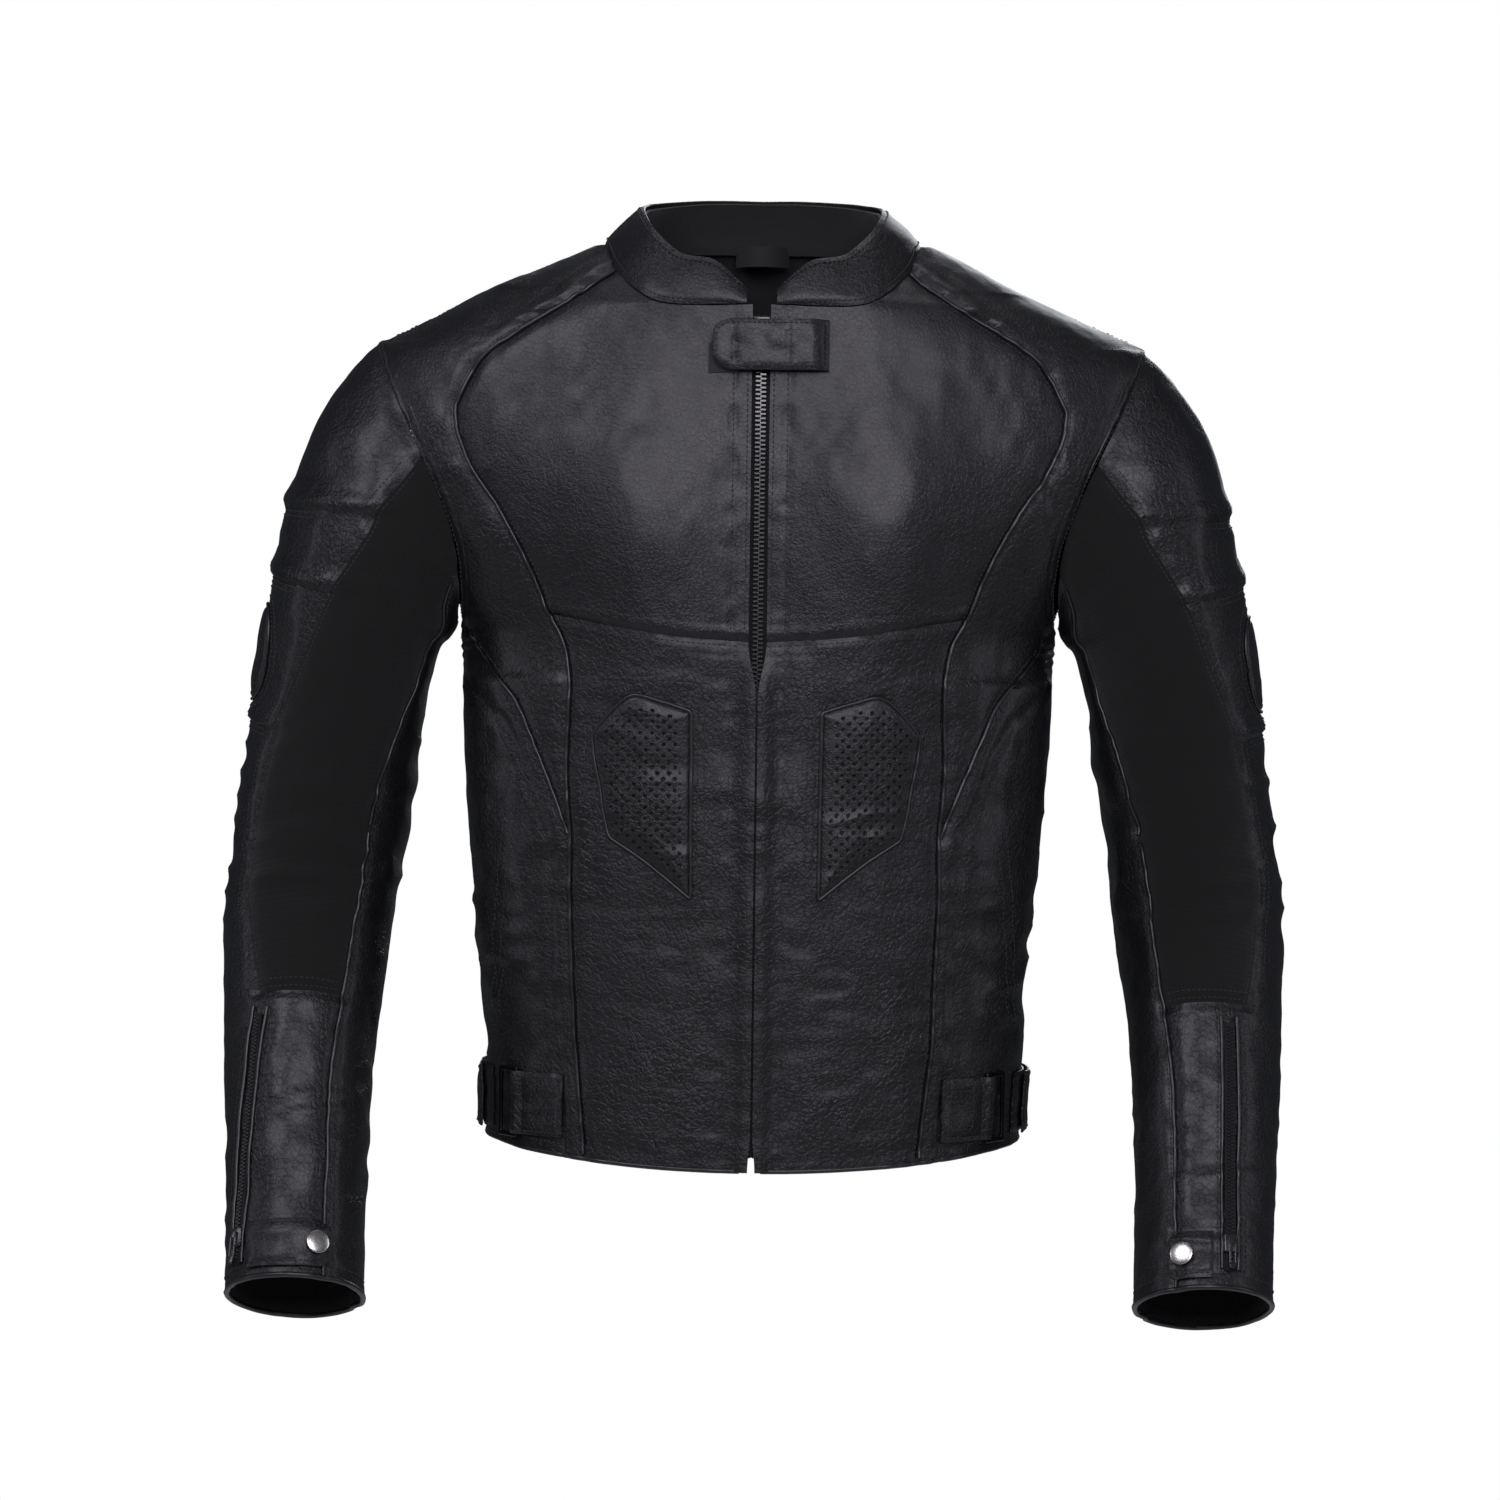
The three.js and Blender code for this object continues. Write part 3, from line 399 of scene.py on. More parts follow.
torso_seams = {}
sleeve_seams = {}
for tag, side in SIDES:
    torso = mirrored(on_torso, side)
    sleeve = mirrored(on_sleeve, side)
    hem_line = np.stack([np.linspace(6, 179, 160), hem(np.linspace(6, 179, 160)) + 8], -1)
    yoke_back = np.stack([np.linspace(91, 180, 90), np.full(90, -110.0)], -1)
    ridge = np.stack([np.full(60, 89.9), np.linspace(-60, 3, 60)], -1)
    arm_front = np.stack([np.full(70, 89.9), np.linspace(-64, -248, 70)], -1)
    arm_back = arm_front + [0.2, 0]
    torso_seams[tag] = {
        "piping": Seam(torso, piping_line(), 1.6, 4.5),
        "side_piping": Seam(torso, front_line(SIDE_PIPING), 1.4, 4.5),
        "side_seam": Seam(torso, front_line(SIDE_SEAM, 160), 1.0, 3.0, (-2.2, 2.2)),
        "pocket": Seam(torso, front_line(POCKET), 0.0, 3.0),
        "chest": Seam(torso, front_line(CHEST_SEAM), 2.0, 1.9, (3, 9), lap=1.4),
        "yoke": Seam(torso, front_line(YOKE_LINE), 0.7, 2.4),
        "vent": Seam(torso, front_line([(98, -14), (127, -36), (151, -51)]), 3.4, 2.4),
        "placket": Seam(torso, at(np.full(160, 17.5), np.linspace(-596, -46, 160)), 0.7, 1.8),
        "hem": Seam(torso, hem_line, 0.6, 2.5),
        "armhole": Seam(torso, arm_front, 1.6, 5.0, (8,)),
        "armhole_back": Seam(torso, arm_back, 1.6, 5.0),
        "ridge": Seam(torso, ridge, 0.6, 3.0),
        "yoke_back": Seam(torso, yoke_back, 1.2, 3.5, (3, 9)),
        "princess": Seam(torso, polar_line(BACK_PRINCESS, 200), 1.3, 4.0),
    }
    rings = np.linspace(0, ELBOW, 110)
    low_rings = np.linspace(ELBOW, STRETCH_END, 50)
    cuff_rings = np.linspace(ELBOW, CUFF, 110)
    all_rings = np.linspace(0, CUFF, 220)
    high_rings = np.linspace(0, STRETCH_END, 160)
    bands = []
    for outer_height, inner_height, last in ((-173, -178, 84), (-216, -230, 76), (-313, -319, 41)):
        angle = np.linspace(BACK_SEAM + 2, last, 110)
        height = outer_height + (inner_height - outer_height) * np.clip(angle / last, 0, 1)
        bands.append(np.stack([angle, ring_at(angle, height)], -1))
    sleeve_seams[tag] = {
        "stretch_outer": Seam(sleeve, np.stack([stretch_outer(high_rings), high_rings], -1), 1.5, 2.6, (3.4,)),
        "stretch_inner": Seam(sleeve, np.stack([stretch_inner(all_rings), all_rings], -1), 1.5, 4.2),
        "back": Seam(sleeve, np.stack([np.full(220, BACK_SEAM + 0.0), all_rings], -1), 1.3, 4.0, (-3, 3)),
        "armhole": Seam(sleeve, np.stack([np.linspace(0, 360, 300), np.full(300, 0.02)], -1), 1.8, 6.0),
        "stretch_end": Seam(sleeve, np.stack([np.linspace(60, 127, 50), np.full(50, STRETCH_END)], -1), 1.2, 3.2, (-3,)),
        "band_1": Seam(sleeve, bands[0], 0.8, 2.0, lap=3.0),
        "band_2": Seam(sleeve, bands[1], 0.8, 2.0, lap=3.0),
        "band_3": Seam(sleeve, bands[2], 0.8, 2.0, lap=3.0),
        "cuff": Seam(sleeve, np.stack([np.linspace(0, 360, 260), np.full(260, CUFF - 0.13)], -1), 0.5, 2.2),
    }


def torso_height(points):
    tag = "l" if np.mean(points[..., 0]) > 0 else "r"
    seams = list(torso_seams[tag].values())
    if np.min(points[..., 0]) < -30 and np.max(points[..., 0]) > 30:
        seams = [seam for both in torso_seams.values() for seam in both.values()]
    return torso_folds(points) + pulled(points, seams)


def sleeve_height(points):
    tag = "l" if np.mean(points[..., 0]) > 0 else "r"
    return sleeve_folds(points) + pulled(points, sleeve_seams[tag].values())


STEP_B = {"torso": 0.4, "sleeve": 0.01}


class Skin:
    """One of the two surfaces on one side, with its relief."""

    def __init__(self, kind, side):
        self.kind, self.side = kind, side
        self.place = mirrored(on_torso if kind == "torso" else on_sleeve, side)
        self.relief = torso_height if kind == "torso" else sleeve_height

    def points(self, a, b, lift=0.0):
        spots = self.place(a, b)
        facing = normals(self.place, a, b, STEP_B[self.kind])
        return spots + facing * (self.relief(spots) + lift)[..., None], facing


print("seams:", sum(len(seams) for seams in (*torso_seams.values(), *sleeve_seams.values())))

# %% [markdown]
# ## From a surface to a closed panel
# A panel is a grid of points with the relief already in it. The grid is doubled inwards and
# closed round its rim, so each panel is a real solid sheet with leather outside and lining
# inside. A Solidify modifier would do the same, but building it here keeps the rim clean.

# %% Panel builder
GRID = 2.9
THICK = 2.2


def mesh_object(name, points, faces, materials, slots=None, uv=None, smooth=40, shade=None):
    mesh = bpy.data.meshes.new(name)
    mesh.from_pydata((np.asarray(points) * MM).tolist(), [], [list(map(int, face)) for face in faces])
    for material in materials:
        mesh.materials.append(material)
    if slots is not None:
        mesh.polygons.foreach_set("material_index", np.asarray(slots, np.int32))
    if uv is not None:
        layer = mesh.uv_layers.new(name="cloth")
        loops = np.empty(len(mesh.loops), np.int32)
        mesh.loops.foreach_get("vertex_index", loops)
        layer.data.foreach_set("uv", (np.asarray(uv)[loops] * MM).astype(np.float32).ravel())
    if shade is not None:
        layer = mesh.attributes.new("shade", "FLOAT", "POINT")
        layer.data.foreach_set("value", np.asarray(shade, np.float32))
    mesh.update()
    thing = bpy.data.objects.new(name, mesh)
    bpy.context.scene.collection.objects.link(thing)
    bpy.ops.object.select_all(action="DESELECT")
    thing.select_set(True)
    bpy.context.view_layer.objects.active = thing
    if smooth:
        bpy.ops.object.shade_smooth_by_angle(angle=math.radians(smooth))
    thing.select_set(False)
    return thing


def closed(grid_points, facing, keep, thick, wrap=False):
    """Outer and inner faces over a grid, closed round the edge; returns points, faces, slots, index."""
    rows, columns = grid_points.shape[:2]
    spot = np.arange(rows * columns).reshape(rows, columns)
    right = np.roll(spot, -1, 1) if wrap else spot[:, 1:]
    left = spot if wrap else spot[:, :-1]
    quads = np.stack([left[:-1], right[:-1], right[1:], left[1:]], -1)
    quads = quads[keep] if keep is not None else quads.reshape(-1, 4)
    flat, normal = grid_points.reshape(-1, 3), facing.reshape(-1, 3)
    first = np.cross(flat[quads[:, 1]] - flat[quads[:, 0]], flat[quads[:, 3]] - flat[quads[:, 0]])
    if np.sum(first * normal[quads[:, 0]]) < 0:
        quads = quads[:, ::-1]
    edges = np.concatenate([quads[:, [i, (i + 1) % 4]] for i in range(4)])
    code = edges[:, 0] * (len(flat) + 1) + edges[:, 1]
    back = edges[:, 1] * (len(flat) + 1) + edges[:, 0]
    rim = edges[~np.isin(code, back)]
    used = np.unique(quads)
    renumber = np.zeros(len(flat), int)
    renumber[used] = np.arange(len(used))
    quads, rim = renumber[quads], renumber[rim]
    count = len(used)
    thickness = thick.reshape(-1)[used][:, None] if isinstance(thick, np.ndarray) else thick
    points = np.concatenate([flat[used], flat[used] - normal[used] * thickness])
    under = quads[:, ::-1] + count
    sides = np.stack([rim[:, 1], rim[:, 0], rim[:, 0] + count, rim[:, 1] + count], -1)
    faces = np.concatenate([quads, sides, under])
    slots = np.concatenate([np.zeros(len(quads) + len(sides)), np.ones(len(under))])
    return points, faces, slots, used


panels = {}


def panel(name, skin, chart, outside, keep=None, lift=0.0, thick=THICK, inside=None, replaces=True, wrap=False):
    """A leather or stretch panel over a chart grid; remembers its measured flat size."""
    a, b = chart[..., 0], chart[..., 1]
    spots, facing = skin.points(a, b, lift)
    across = np.linalg.norm(np.diff(spots, axis=1), axis=-1)
    upwards = np.linalg.norm(np.diff(spots, axis=0), axis=-1)
    uv = np.zeros(spots.shape[:2] + (2,))
    uv[:, 1:, 0] = np.cumsum(across, 1)
    uv[..., 0] -= uv[:, :1, 0].mean() + uv[..., 0].mean(1, keepdims=True) - uv[..., 0].mean()
    uv[1:, :, 1] = np.cumsum(upwards.mean(1, keepdims=True) + 0 * upwards[:, :1], 0)
    points, faces, slots, used = closed(spots, facing, keep, thick, wrap)
    # The relief is also kept as the shade attribute; the leather uses it for wear on the crests and for painted shade
    # in the valleys and perforation holes.
    relief = skin.relief(skin.place(a, b)).reshape(-1)[used]
    inner = inside or lining
    thing = mesh_object(
        name, points, faces, [outside, inner], slots,
        np.tile(uv.reshape(-1, 2)[used], (2, 1)), 45, np.tile(relief, 2),
    )
    thing["flat"] = (float(across.sum(1).mean()) * MM, float(upwards.sum(0).mean()) * MM)
    panels[name] = thing
    return thing


def count_for(length, size=None):
    return max(3, int(round(length / (size or GRID))) + 1)


def ruled(left, right, rows, columns):
    """A chart grid between a left and a right edge, each a function from 0..1 to chart points."""
    v = np.linspace(0, 1, rows)
    u = np.linspace(0, 1, columns)[None, :, None]
    return left(v)[:, None, :] * (1 - u) + right(v)[:, None, :] * u


def coons(bottom, top, left, right, rows, columns):
    u = np.linspace(0, 1, columns)
    v = np.linspace(0, 1, rows)
    low, high, near, far = bottom(u)[None], top(u)[None], left(v)[:, None], right(v)[:, None]
    u, v = u[None, :, None], v[:, None, None]
    corners = (1 - v) * ((1 - u) * low[:, :1] + u * low[:, -1:]) + v * ((1 - u) * high[:, :1] + u * high[:, -1:])
    return (1 - v) * low + v * high + (1 - u) * near + u * far - corners


def joined(first, second, share):
    def curve(t):
        t = np.asarray(t, float)
        return np.where(
            (t < share)[..., None], first(np.clip(t / share, 0, 1)), second(np.clip((t - share) / (1 - share), 0, 1)),
        )

    return curve


# %% [markdown]
# ## Materials
# Shader maths is written as plain expressions. The small class below turns each operator into
# a Math node, so a grain pattern reads like a formula. The same could be wired by hand in the
# shader editor; formulas are quicker to change.

# %% Shader expressions
class Wire:
    """A shader socket that can be used in a formula."""

    def __init__(self, tree, socket):
        self.tree, self.socket = tree, socket

    def math(self, operation, *others):
        node = self.tree.nodes.new("ShaderNodeMath")
        node.operation = operation
        for slot, value in zip(node.inputs, (self, *others)):
            connect(self.tree, slot, value)
        return Wire(self.tree, node.outputs[0])

    def __add__(self, other):
        return self.math("ADD", other)

    def __sub__(self, other):
        return self.math("SUBTRACT", other)

    def __mul__(self, other):
        return self.math("MULTIPLY", other)

    def __truediv__(self, other):
        return self.math("DIVIDE", other)

    def __rsub__(self, other):
        return (self * -1) + other

    __radd__ = __add__
    __rmul__ = __mul__

    def clamp(self):
        return self.math("MAXIMUM", 0.0).math("MINIMUM", 1.0)

    def node(self, kind, output=0, settings=None, **inputs):
        return make(self.tree, kind, output, settings, **inputs)


def connect(tree, slot, value):
    if isinstance(value, Wire):
        tree.links.new(value.socket, slot)
    else:
        slot.default_value = value


def make(tree, kind, output=0, settings=None, **inputs):
    node = tree.nodes.new("ShaderNode" + kind)
    for key, value in (settings or {}).items():
        setattr(node, key, value)
    for key, value in inputs.items():
        connect(tree, node.inputs[key.replace("_", " ")], value)
    return Wire(tree, node.outputs[output])


def material(name, build, **fixed):
    """Makes a Principled material; build gets the wires and returns what varies over the surface."""
    thing = bpy.data.materials.new(name)
    thing.use_nodes = True
    tree = thing.node_tree
    shader = tree.nodes["Principled BSDF"]
    place = make(tree, "TexCoord", 3)
    cloth = make(tree, "UVMap", 0, {"uv_map": "cloth"})
    for key, value in fixed.items():
        shader.inputs[key.replace("_", " ")].default_value = value
    for key, value in build(tree, place, cloth).items():
        connect(tree, shader.inputs[key.replace("_", " ")], value)
    return thing


def noise_wire(tree, place, scale, detail=3.0, roughness=0.5, distortion=0.0):
    return make(tree, "TexNoise", 0, None, Vector=place, Scale=scale, Detail=detail, Roughness=roughness, Distortion=distortion)


def blend_color(tree, factor, first, second):
    node = tree.nodes.new("ShaderNodeMix")
    node.data_type = "RGBA"
    for slot, value in ((node.inputs[0], factor), (node.inputs[6], (*first, 1)), (node.inputs[7], (*second, 1))):
        connect(tree, slot, value)
    return Wire(tree, node.outputs[2])


def painted_hole_shade(tree, factor, color):
    """Paints shade: darkens a colour to almost black where the factor is 0, as painted shade inside a hole."""
    node = tree.nodes.new("ShaderNodeMix")
    node.data_type = "RGBA"
    for slot, value in ((node.inputs[0], factor), (node.inputs[6], (0.0004, 0.0004, 0.0005, 1)), (node.inputs[7], color)):
        connect(tree, slot, value)
    return Wire(tree, node.outputs[2])


def bump(tree, height, distance, before=None):
    node = make(tree, "Bump", 0, None, Height=height, Distance=distance, Strength=1.0)
    if before is not None:
        connect(tree, node.socket.node.inputs["Normal"], before)
    return node


def shade_wire(tree):
    return make(tree, "Attribute", 2, {"attribute_name": "shade"})


def leather_build(pebble, depth, crease):
    def build(tree, place, cloth):
        wobble = noise_wire(tree, place, 320.0, 2.0)
        warped = make(tree, "Mix", 1, {"data_type": "VECTOR"})
        node = warped.socket.node
        connect(tree, node.inputs[0], 0.0012)
        connect(tree, node.inputs[4], place)
        tree.links.new(wobble.socket.node.outputs["Color"], node.inputs[5])
        grain = make(
            tree, "TexVoronoi", 0, {"feature": "SMOOTH_F1"}, Vector=warped, Scale=1 / pebble, Smoothness=0.35, Randomness=0.9,
        )
        cells = make(tree, "TexVoronoi", 0, {"feature": "DISTANCE_TO_EDGE"}, Vector=warped, Scale=0.45 / pebble)
        pores = noise_wire(tree, place, 2600.0, 2.0)
        folds = noise_wire(tree, place, 55.0, 5.0, 0.6, 1.2)
        ridges = ((folds * 2 - 1).math("ABSOLUTE") * 5).clamp()
        broad = noise_wire(tree, place, 14.0, 3.0)
        rise = (1 - grain) * 0.7 + (cells * 6).clamp() * 0.6 + pores * 0.2
        normal = bump(tree, rise, depth)
        normal = bump(tree, ridges, crease, normal)
        shade = (shade_wire(tree) * 0.25 + 0.5).clamp()
        # Lighter patches only where the leather is raised: on the crests they are wear, and leaving them out of the
        # seam and fold valleys makes those valleys darker, which is painted shade.
        crest_wear_and_valley_shade = (noise_wire(tree, place, 90.0, 4.0) * 3 - 1.4).clamp() * shade
        color = blend_color(tree, (broad * 0.6 + crest_wear_and_valley_shade * 0.35).clamp(), (0.0030, 0.0030, 0.0040), (0.0078, 0.0078, 0.0102))
        # Painted shade in the perforation holes: where the shade attribute falls far below zero the colour goes almost
        # black.
        color = painted_hole_shade(tree, ((shade_wire(tree) + 7) * 0.5).clamp(), color)
        rough = 0.31 + broad * 0.12 + (1 - shade) * 0.12 + pores * 0.06
        return {"Base_Color": color, "Roughness": rough, "Normal": normal}

    return build


def twill_build(tree, place, cloth):
    parts = make(tree, "SeparateXYZ", 0, None, Vector=cloth)
    across, upwards = parts, Wire(tree, parts.socket.node.outputs[1])
    slant = ((across + upwards * 0.8) * (2 * math.pi / 0.0017)).math("SINE")
    rib = (upwards * (2 * math.pi / 0.0042) + across * 180.0).math("SINE")
    soft = noise_wire(tree, place, 240.0, 3.0)
    broad = noise_wire(tree, place, 18.0, 3.0)
    normal = bump(tree, slant * 0.5 + rib * 0.35 + soft * 0.6, 0.00022)
    color = blend_color(tree, (slant * 0.2 + 0.3 + broad * 0.3).clamp(), (0.008, 0.008, 0.0077), (0.018, 0.018, 0.0172))
    return {"Base_Color": color, "Roughness": 0.86 + broad * 0.12, "Normal": normal}


def knit_build(dark, light, scale):
    def build(tree, place, cloth):
        weave = make(tree, "TexVoronoi", 0, None, Vector=place, Scale=scale)
        broad = noise_wire(tree, place, 25.0, 3.0)
        color = blend_color(tree, (weave * 0.5 + broad * 0.4).clamp(), dark, light)
        return {"Base_Color": color, "Roughness": 0.8 + broad * 0.15, "Normal": bump(tree, weave, 0.00015)}

    return build


def metal_build(dark, light, rough):
    def build(tree, place, cloth):
        streak = noise_wire(tree, place, 700.0, 4.0)
        broad = noise_wire(tree, place, 120.0, 3.0)
        color = blend_color(tree, (streak * 0.5 + broad * 0.4).clamp(), dark, light)
        return {"Base_Color": color, "Roughness": rough + streak * 0.12, "Normal": bump(tree, streak, 0.00002)}

    return build


def thread_build(tree, place, cloth):
    twist = make(tree, "TexWave", 0, {"wave_type": "BANDS", "bands_direction": "DIAGONAL"}, Vector=place, Scale=1500.0, Distortion=1.0)
    color = blend_color(tree, twist, (0.012, 0.012, 0.014), (0.05, 0.05, 0.056))
    return {"Base_Color": color, "Roughness": 0.55 + twist * 0.1, "Normal": bump(tree, twist, 0.0001)}


leather_coarse = material("leather_coarse", leather_build(0.0021, 0.00042, 0.00022), Coat_Weight=0.25, Coat_Roughness=0.28, Specular_IOR_Level=0.42)
leather_fine = material("leather_fine", leather_build(0.0015, 0.00026, 0.00016), Coat_Weight=0.25, Coat_Roughness=0.28, Specular_IOR_Level=0.42)
piping_leather = material("piping_leather", leather_build(0.0006, 0.00004, 0.00004), Coat_Weight=0.4, Coat_Roughness=0.22)
twill = material("stretch_twill", twill_build, Sheen_Weight=0.12, Sheen_Roughness=0.5, Specular_IOR_Level=0.15)
lining = material("lining", knit_build((0.004, 0.004, 0.0045), (0.010, 0.010, 0.011), 1100.0))
neoprene = material("neoprene", knit_build((0.006, 0.006, 0.007), (0.012, 0.012, 0.013), 2200.0), Sheen_Weight=0.2)
hook_patch = material("hook_patch", knit_build((0.005, 0.005, 0.006), (0.03, 0.03, 0.032), 900.0), Sheen_Weight=0.6)
raw_edge = material("raw_edge", knit_build((0.05, 0.065, 0.072), (0.12, 0.145, 0.16), 1400.0))
foam = material("foam", knit_build((0.02, 0.02, 0.023), (0.045, 0.045, 0.05), 700.0))
label = material("label", knit_build((0.012, 0.012, 0.013), (0.028, 0.028, 0.03), 1600.0))
thread = material("thread", thread_build)
nickel = material("satin_nickel", metal_build((0.55, 0.52, 0.5), (0.82, 0.79, 0.76), 0.2), Metallic=1.0)
black_zip = material("black_zip", metal_build((0.012, 0.012, 0.013), (0.035, 0.035, 0.037), 0.16), Coat_Weight=0.8, Coat_Roughness=0.08)
gunmetal = material("gunmetal", metal_build((0.02, 0.02, 0.022), (0.06, 0.06, 0.065), 0.25), Metallic=1.0)
print("materials:", len(bpy.data.materials))

# %% [markdown]
# ## Torso panels
# The fronts are patches between four seam lines, and the sides, yoke and back are rows of
# points from one seam to the next. Cut like this, the panels meet as they do on the garment.

# %% Torso
def covered_edge(z):
    """Below the chest the two fronts close over the zip."""
    return 0.7 + (FRONT_EDGE - 0.7) * smooth((z + 296) / 37) + 1.6 * smooth((-575 - z) / 25)


def chart_of(curve):
    return lambda t: at(curve(t)[..., 0], curve(t)[..., 1])


def to_chart(grid):
    return at(grid[..., 0], grid[..., 1])


for tag, side in SIDES:
    skin = Skin("torso", side)
    neck, high = spline(NECK_SEAM), spline(PIPING_HIGH)
    chest_top = joined(neck, high, 0.43)
    chest_left = lambda t: np.stack([np.full(np.shape(t), FRONT_EDGE), -259 + 218 * np.asarray(t)], -1)
    grid = coons(
        spline(CHEST_SEAM), chest_top, chest_left, spline(PIPING_MIDDLE), count_for(205), count_for(200),
    )
    panel(f"chest_panel_{tag}", skin, to_chart(grid), leather_fine)

    low_x = lambda t: 0.7 + (108 - 0.7) * np.asarray(t, float)
    low_hem = lambda t: np.stack([low_x(t) + 1.6 * (1 - np.asarray(t)), HEM_Z + HEM_LIFT * (low_x(t) / 176) ** 2], -1)
    low_start = low_hem(np.array([1.0]))[0]
    low_side = spline([tuple(low_start), *PIPING_LOW[1:]])
    low_left = lambda t: np.stack([covered_edge(HEM_Z + (-HEM_Z - 259) * np.asarray(t)), HEM_Z + (-HEM_Z - 259) * np.asarray(t)], -1)
    grid = coons(low_hem, spline(CHEST_SEAM), low_left, low_side, count_for(345), count_for(112))
    over = 3.3 * smooth((-262 - grid[..., 1]) / 34) * smooth((13 - grid[..., 0]) / 8)
    panel(f"lower_front_{tag}", skin, to_chart(grid), leather_coarse, lift=over, thick=THICK - 0.25 * over)

    seam = joined(low_side, spline(PIPING_MIDDLE), 0.66)
    rows = seam(np.linspace(0, 1, count_for(520)))
    start = at(rows[:, 0], rows[:, 1])
    u = np.linspace(0, 1, count_for(128))[None, :]
    angle = start[:, :1] + (90 - start[:, :1]) * u
    height = start[:, 1:] + (hem(angle) - hem(start[:, :1])) * np.clip(1 - (start[:, 1:] - HEM_Z) / 60, 0, 1)
    panel(f"side_panel_{tag}", skin, np.stack([np.minimum(angle, 89.99), height], -1), leather_coarse)

    seam = joined(spline(PIPING_HIGH[::-1]), spline([(96, -17), (103.5, 1)]), 0.86)
    rows = seam(np.linspace(0, 1, count_for(170, 2.4)))
    start = at(rows[:, 0], rows[:, 1])
    angle = start[:, :1] + (90 - start[:, :1]) * np.linspace(0, 1, count_for(75))[None, :]
    chart = np.stack([np.minimum(angle, 89.99), start[:, 1:] + 0 * angle], -1)
    panel(f"shoulder_panel_{tag}", skin, chart, leather_fine)

whole = Skin("torso", 1)
angles = np.linspace(90.01, 269.99, count_for(520))
heights = np.linspace(-110, 3, count_for(150))
panel("back_yoke", whole, np.stack(np.broadcast_arrays(angles[None, :], heights[:, None]), -1), leather_fine)
share = np.linspace(0, 1, count_for(490))[:, None]
chart = np.stack(np.broadcast_arrays(angles[None, :], hem(angles)[None, :] * (1 - share) - 110 * share), -1)
panel("back_panel", whole, chart, leather_coarse)
print("torso panels:", len(panels))

# %% [markdown]
# ## Sleeve panels
# Each sleeve is a tube of tilted rings, split by seams into a leather cap, outer arm, matte
# stretch panel and underarm. Above and below the elbow the pieces share one edge exactly.

# %% Sleeves
def sleeve_grid(rings, left, right, columns):
    left, right = left + 0 * rings, right + 0 * rings
    u = np.linspace(0, 1, columns)[None, :]
    angle = left[:, None] * (1 - u) + right[:, None] * u
    return np.stack([angle, rings[:, None] + 0 * angle], -1)


CAP_RING = 2.25
for tag, side in SIDES:
    skin = Skin("sleeve", side)
    cap_rings = np.linspace(0, CAP_RING, count_for(120))
    arm_rings = np.linspace(CAP_RING, ELBOW, count_for(215))
    full_rings = np.linspace(0, ELBOW, count_for(330))
    panel(f"sleeve_cap_{tag}", skin, sleeve_grid(cap_rings, BACK_SEAM, stretch_outer(cap_rings), count_for(235)), leather_coarse)
    panel(f"upper_arm_panel_{tag}", skin, sleeve_grid(arm_rings, BACK_SEAM, stretch_outer(arm_rings), count_for(210)), leather_coarse)
    panel(
        f"upper_stretch_panel_{tag}", skin,
        sleeve_grid(full_rings, stretch_outer(full_rings), stretch_inner(full_rings), count_for(85)), twill,
    )
    panel(f"underarm_panel_{tag}", skin, sleeve_grid(full_rings, stretch_inner(full_rings), 210.0, count_for(95)), leather_fine)

    rings = np.concatenate([
        np.linspace(ELBOW, STRETCH_END, count_for(115)), np.linspace(STRETCH_END, CUFF, count_for(215))[1:],
    ])
    turn = count_for(115) - 1
    outer_columns, inner_columns = count_for(190), count_for(60)
    outer = sleeve_grid(rings, BACK_SEAM, stretch_outer(rings), outer_columns)
    extra = sleeve_grid(rings, stretch_outer(rings), stretch_inner(rings), inner_columns)[:, 1:]
    chart = np.concatenate([outer, extra], 1)
    keep = np.ones((len(rings) - 1, chart.shape[1] - 1), bool)
    keep[:turn, outer_columns - 1 :] = False
    panel(f"forearm_panel_{tag}", skin, chart, leather_coarse, keep)
    panel(f"forearm_stretch_panel_{tag}", skin, chart[: turn + 1, outer_columns - 1 :], twill)
    panel(f"forearm_inner_panel_{tag}", skin, sleeve_grid(rings, stretch_inner(rings), 210.0, count_for(90)), leather_fine)
print("panels:", len(panels), "faces:", sum(len(thing.data.polygons) for thing in panels.values()))

# %% [markdown]
# ## Collar, front zip, strap, pads and straps
# The collar is a short stand that rolls over at the top edge. The rest lies on the torso
# surface: a strap or pad is a small panel lifted off it, with a crown in the middle.

# %% Collar
COLLAR_BASE = [
    (10, -85, -40), (40, -84, -41), (67, -81, -39), (84, -72, -29), (96, -56, -16), (102, -36, -3),
    (105, -4, 4.5), (97, 30, 5), (72, 50, 5.5), (38, 60, 6), (0, 62, 6),
]
COLLAR_TOP = [
    (9, -79, -30), (30, -76, -12), (52, -69, -7), (66, -59, 4), (74, -45, 14), (78, -27, 22),
    (80, -2, 29), (76, 24, 33), (58, 42, 36), (30, 52, 38), (0, 55, 38),
]
knots = np.arange(len(COLLAR_BASE), dtype=float)
collar_low = [profile(np.stack([knots, np.array(COLLAR_BASE, float)[:, k]], 1)) for k in range(3)]
collar_high = [profile(np.stack([knots, np.array(COLLAR_TOP, float)[:, k]], 1)) for k in range(3)]


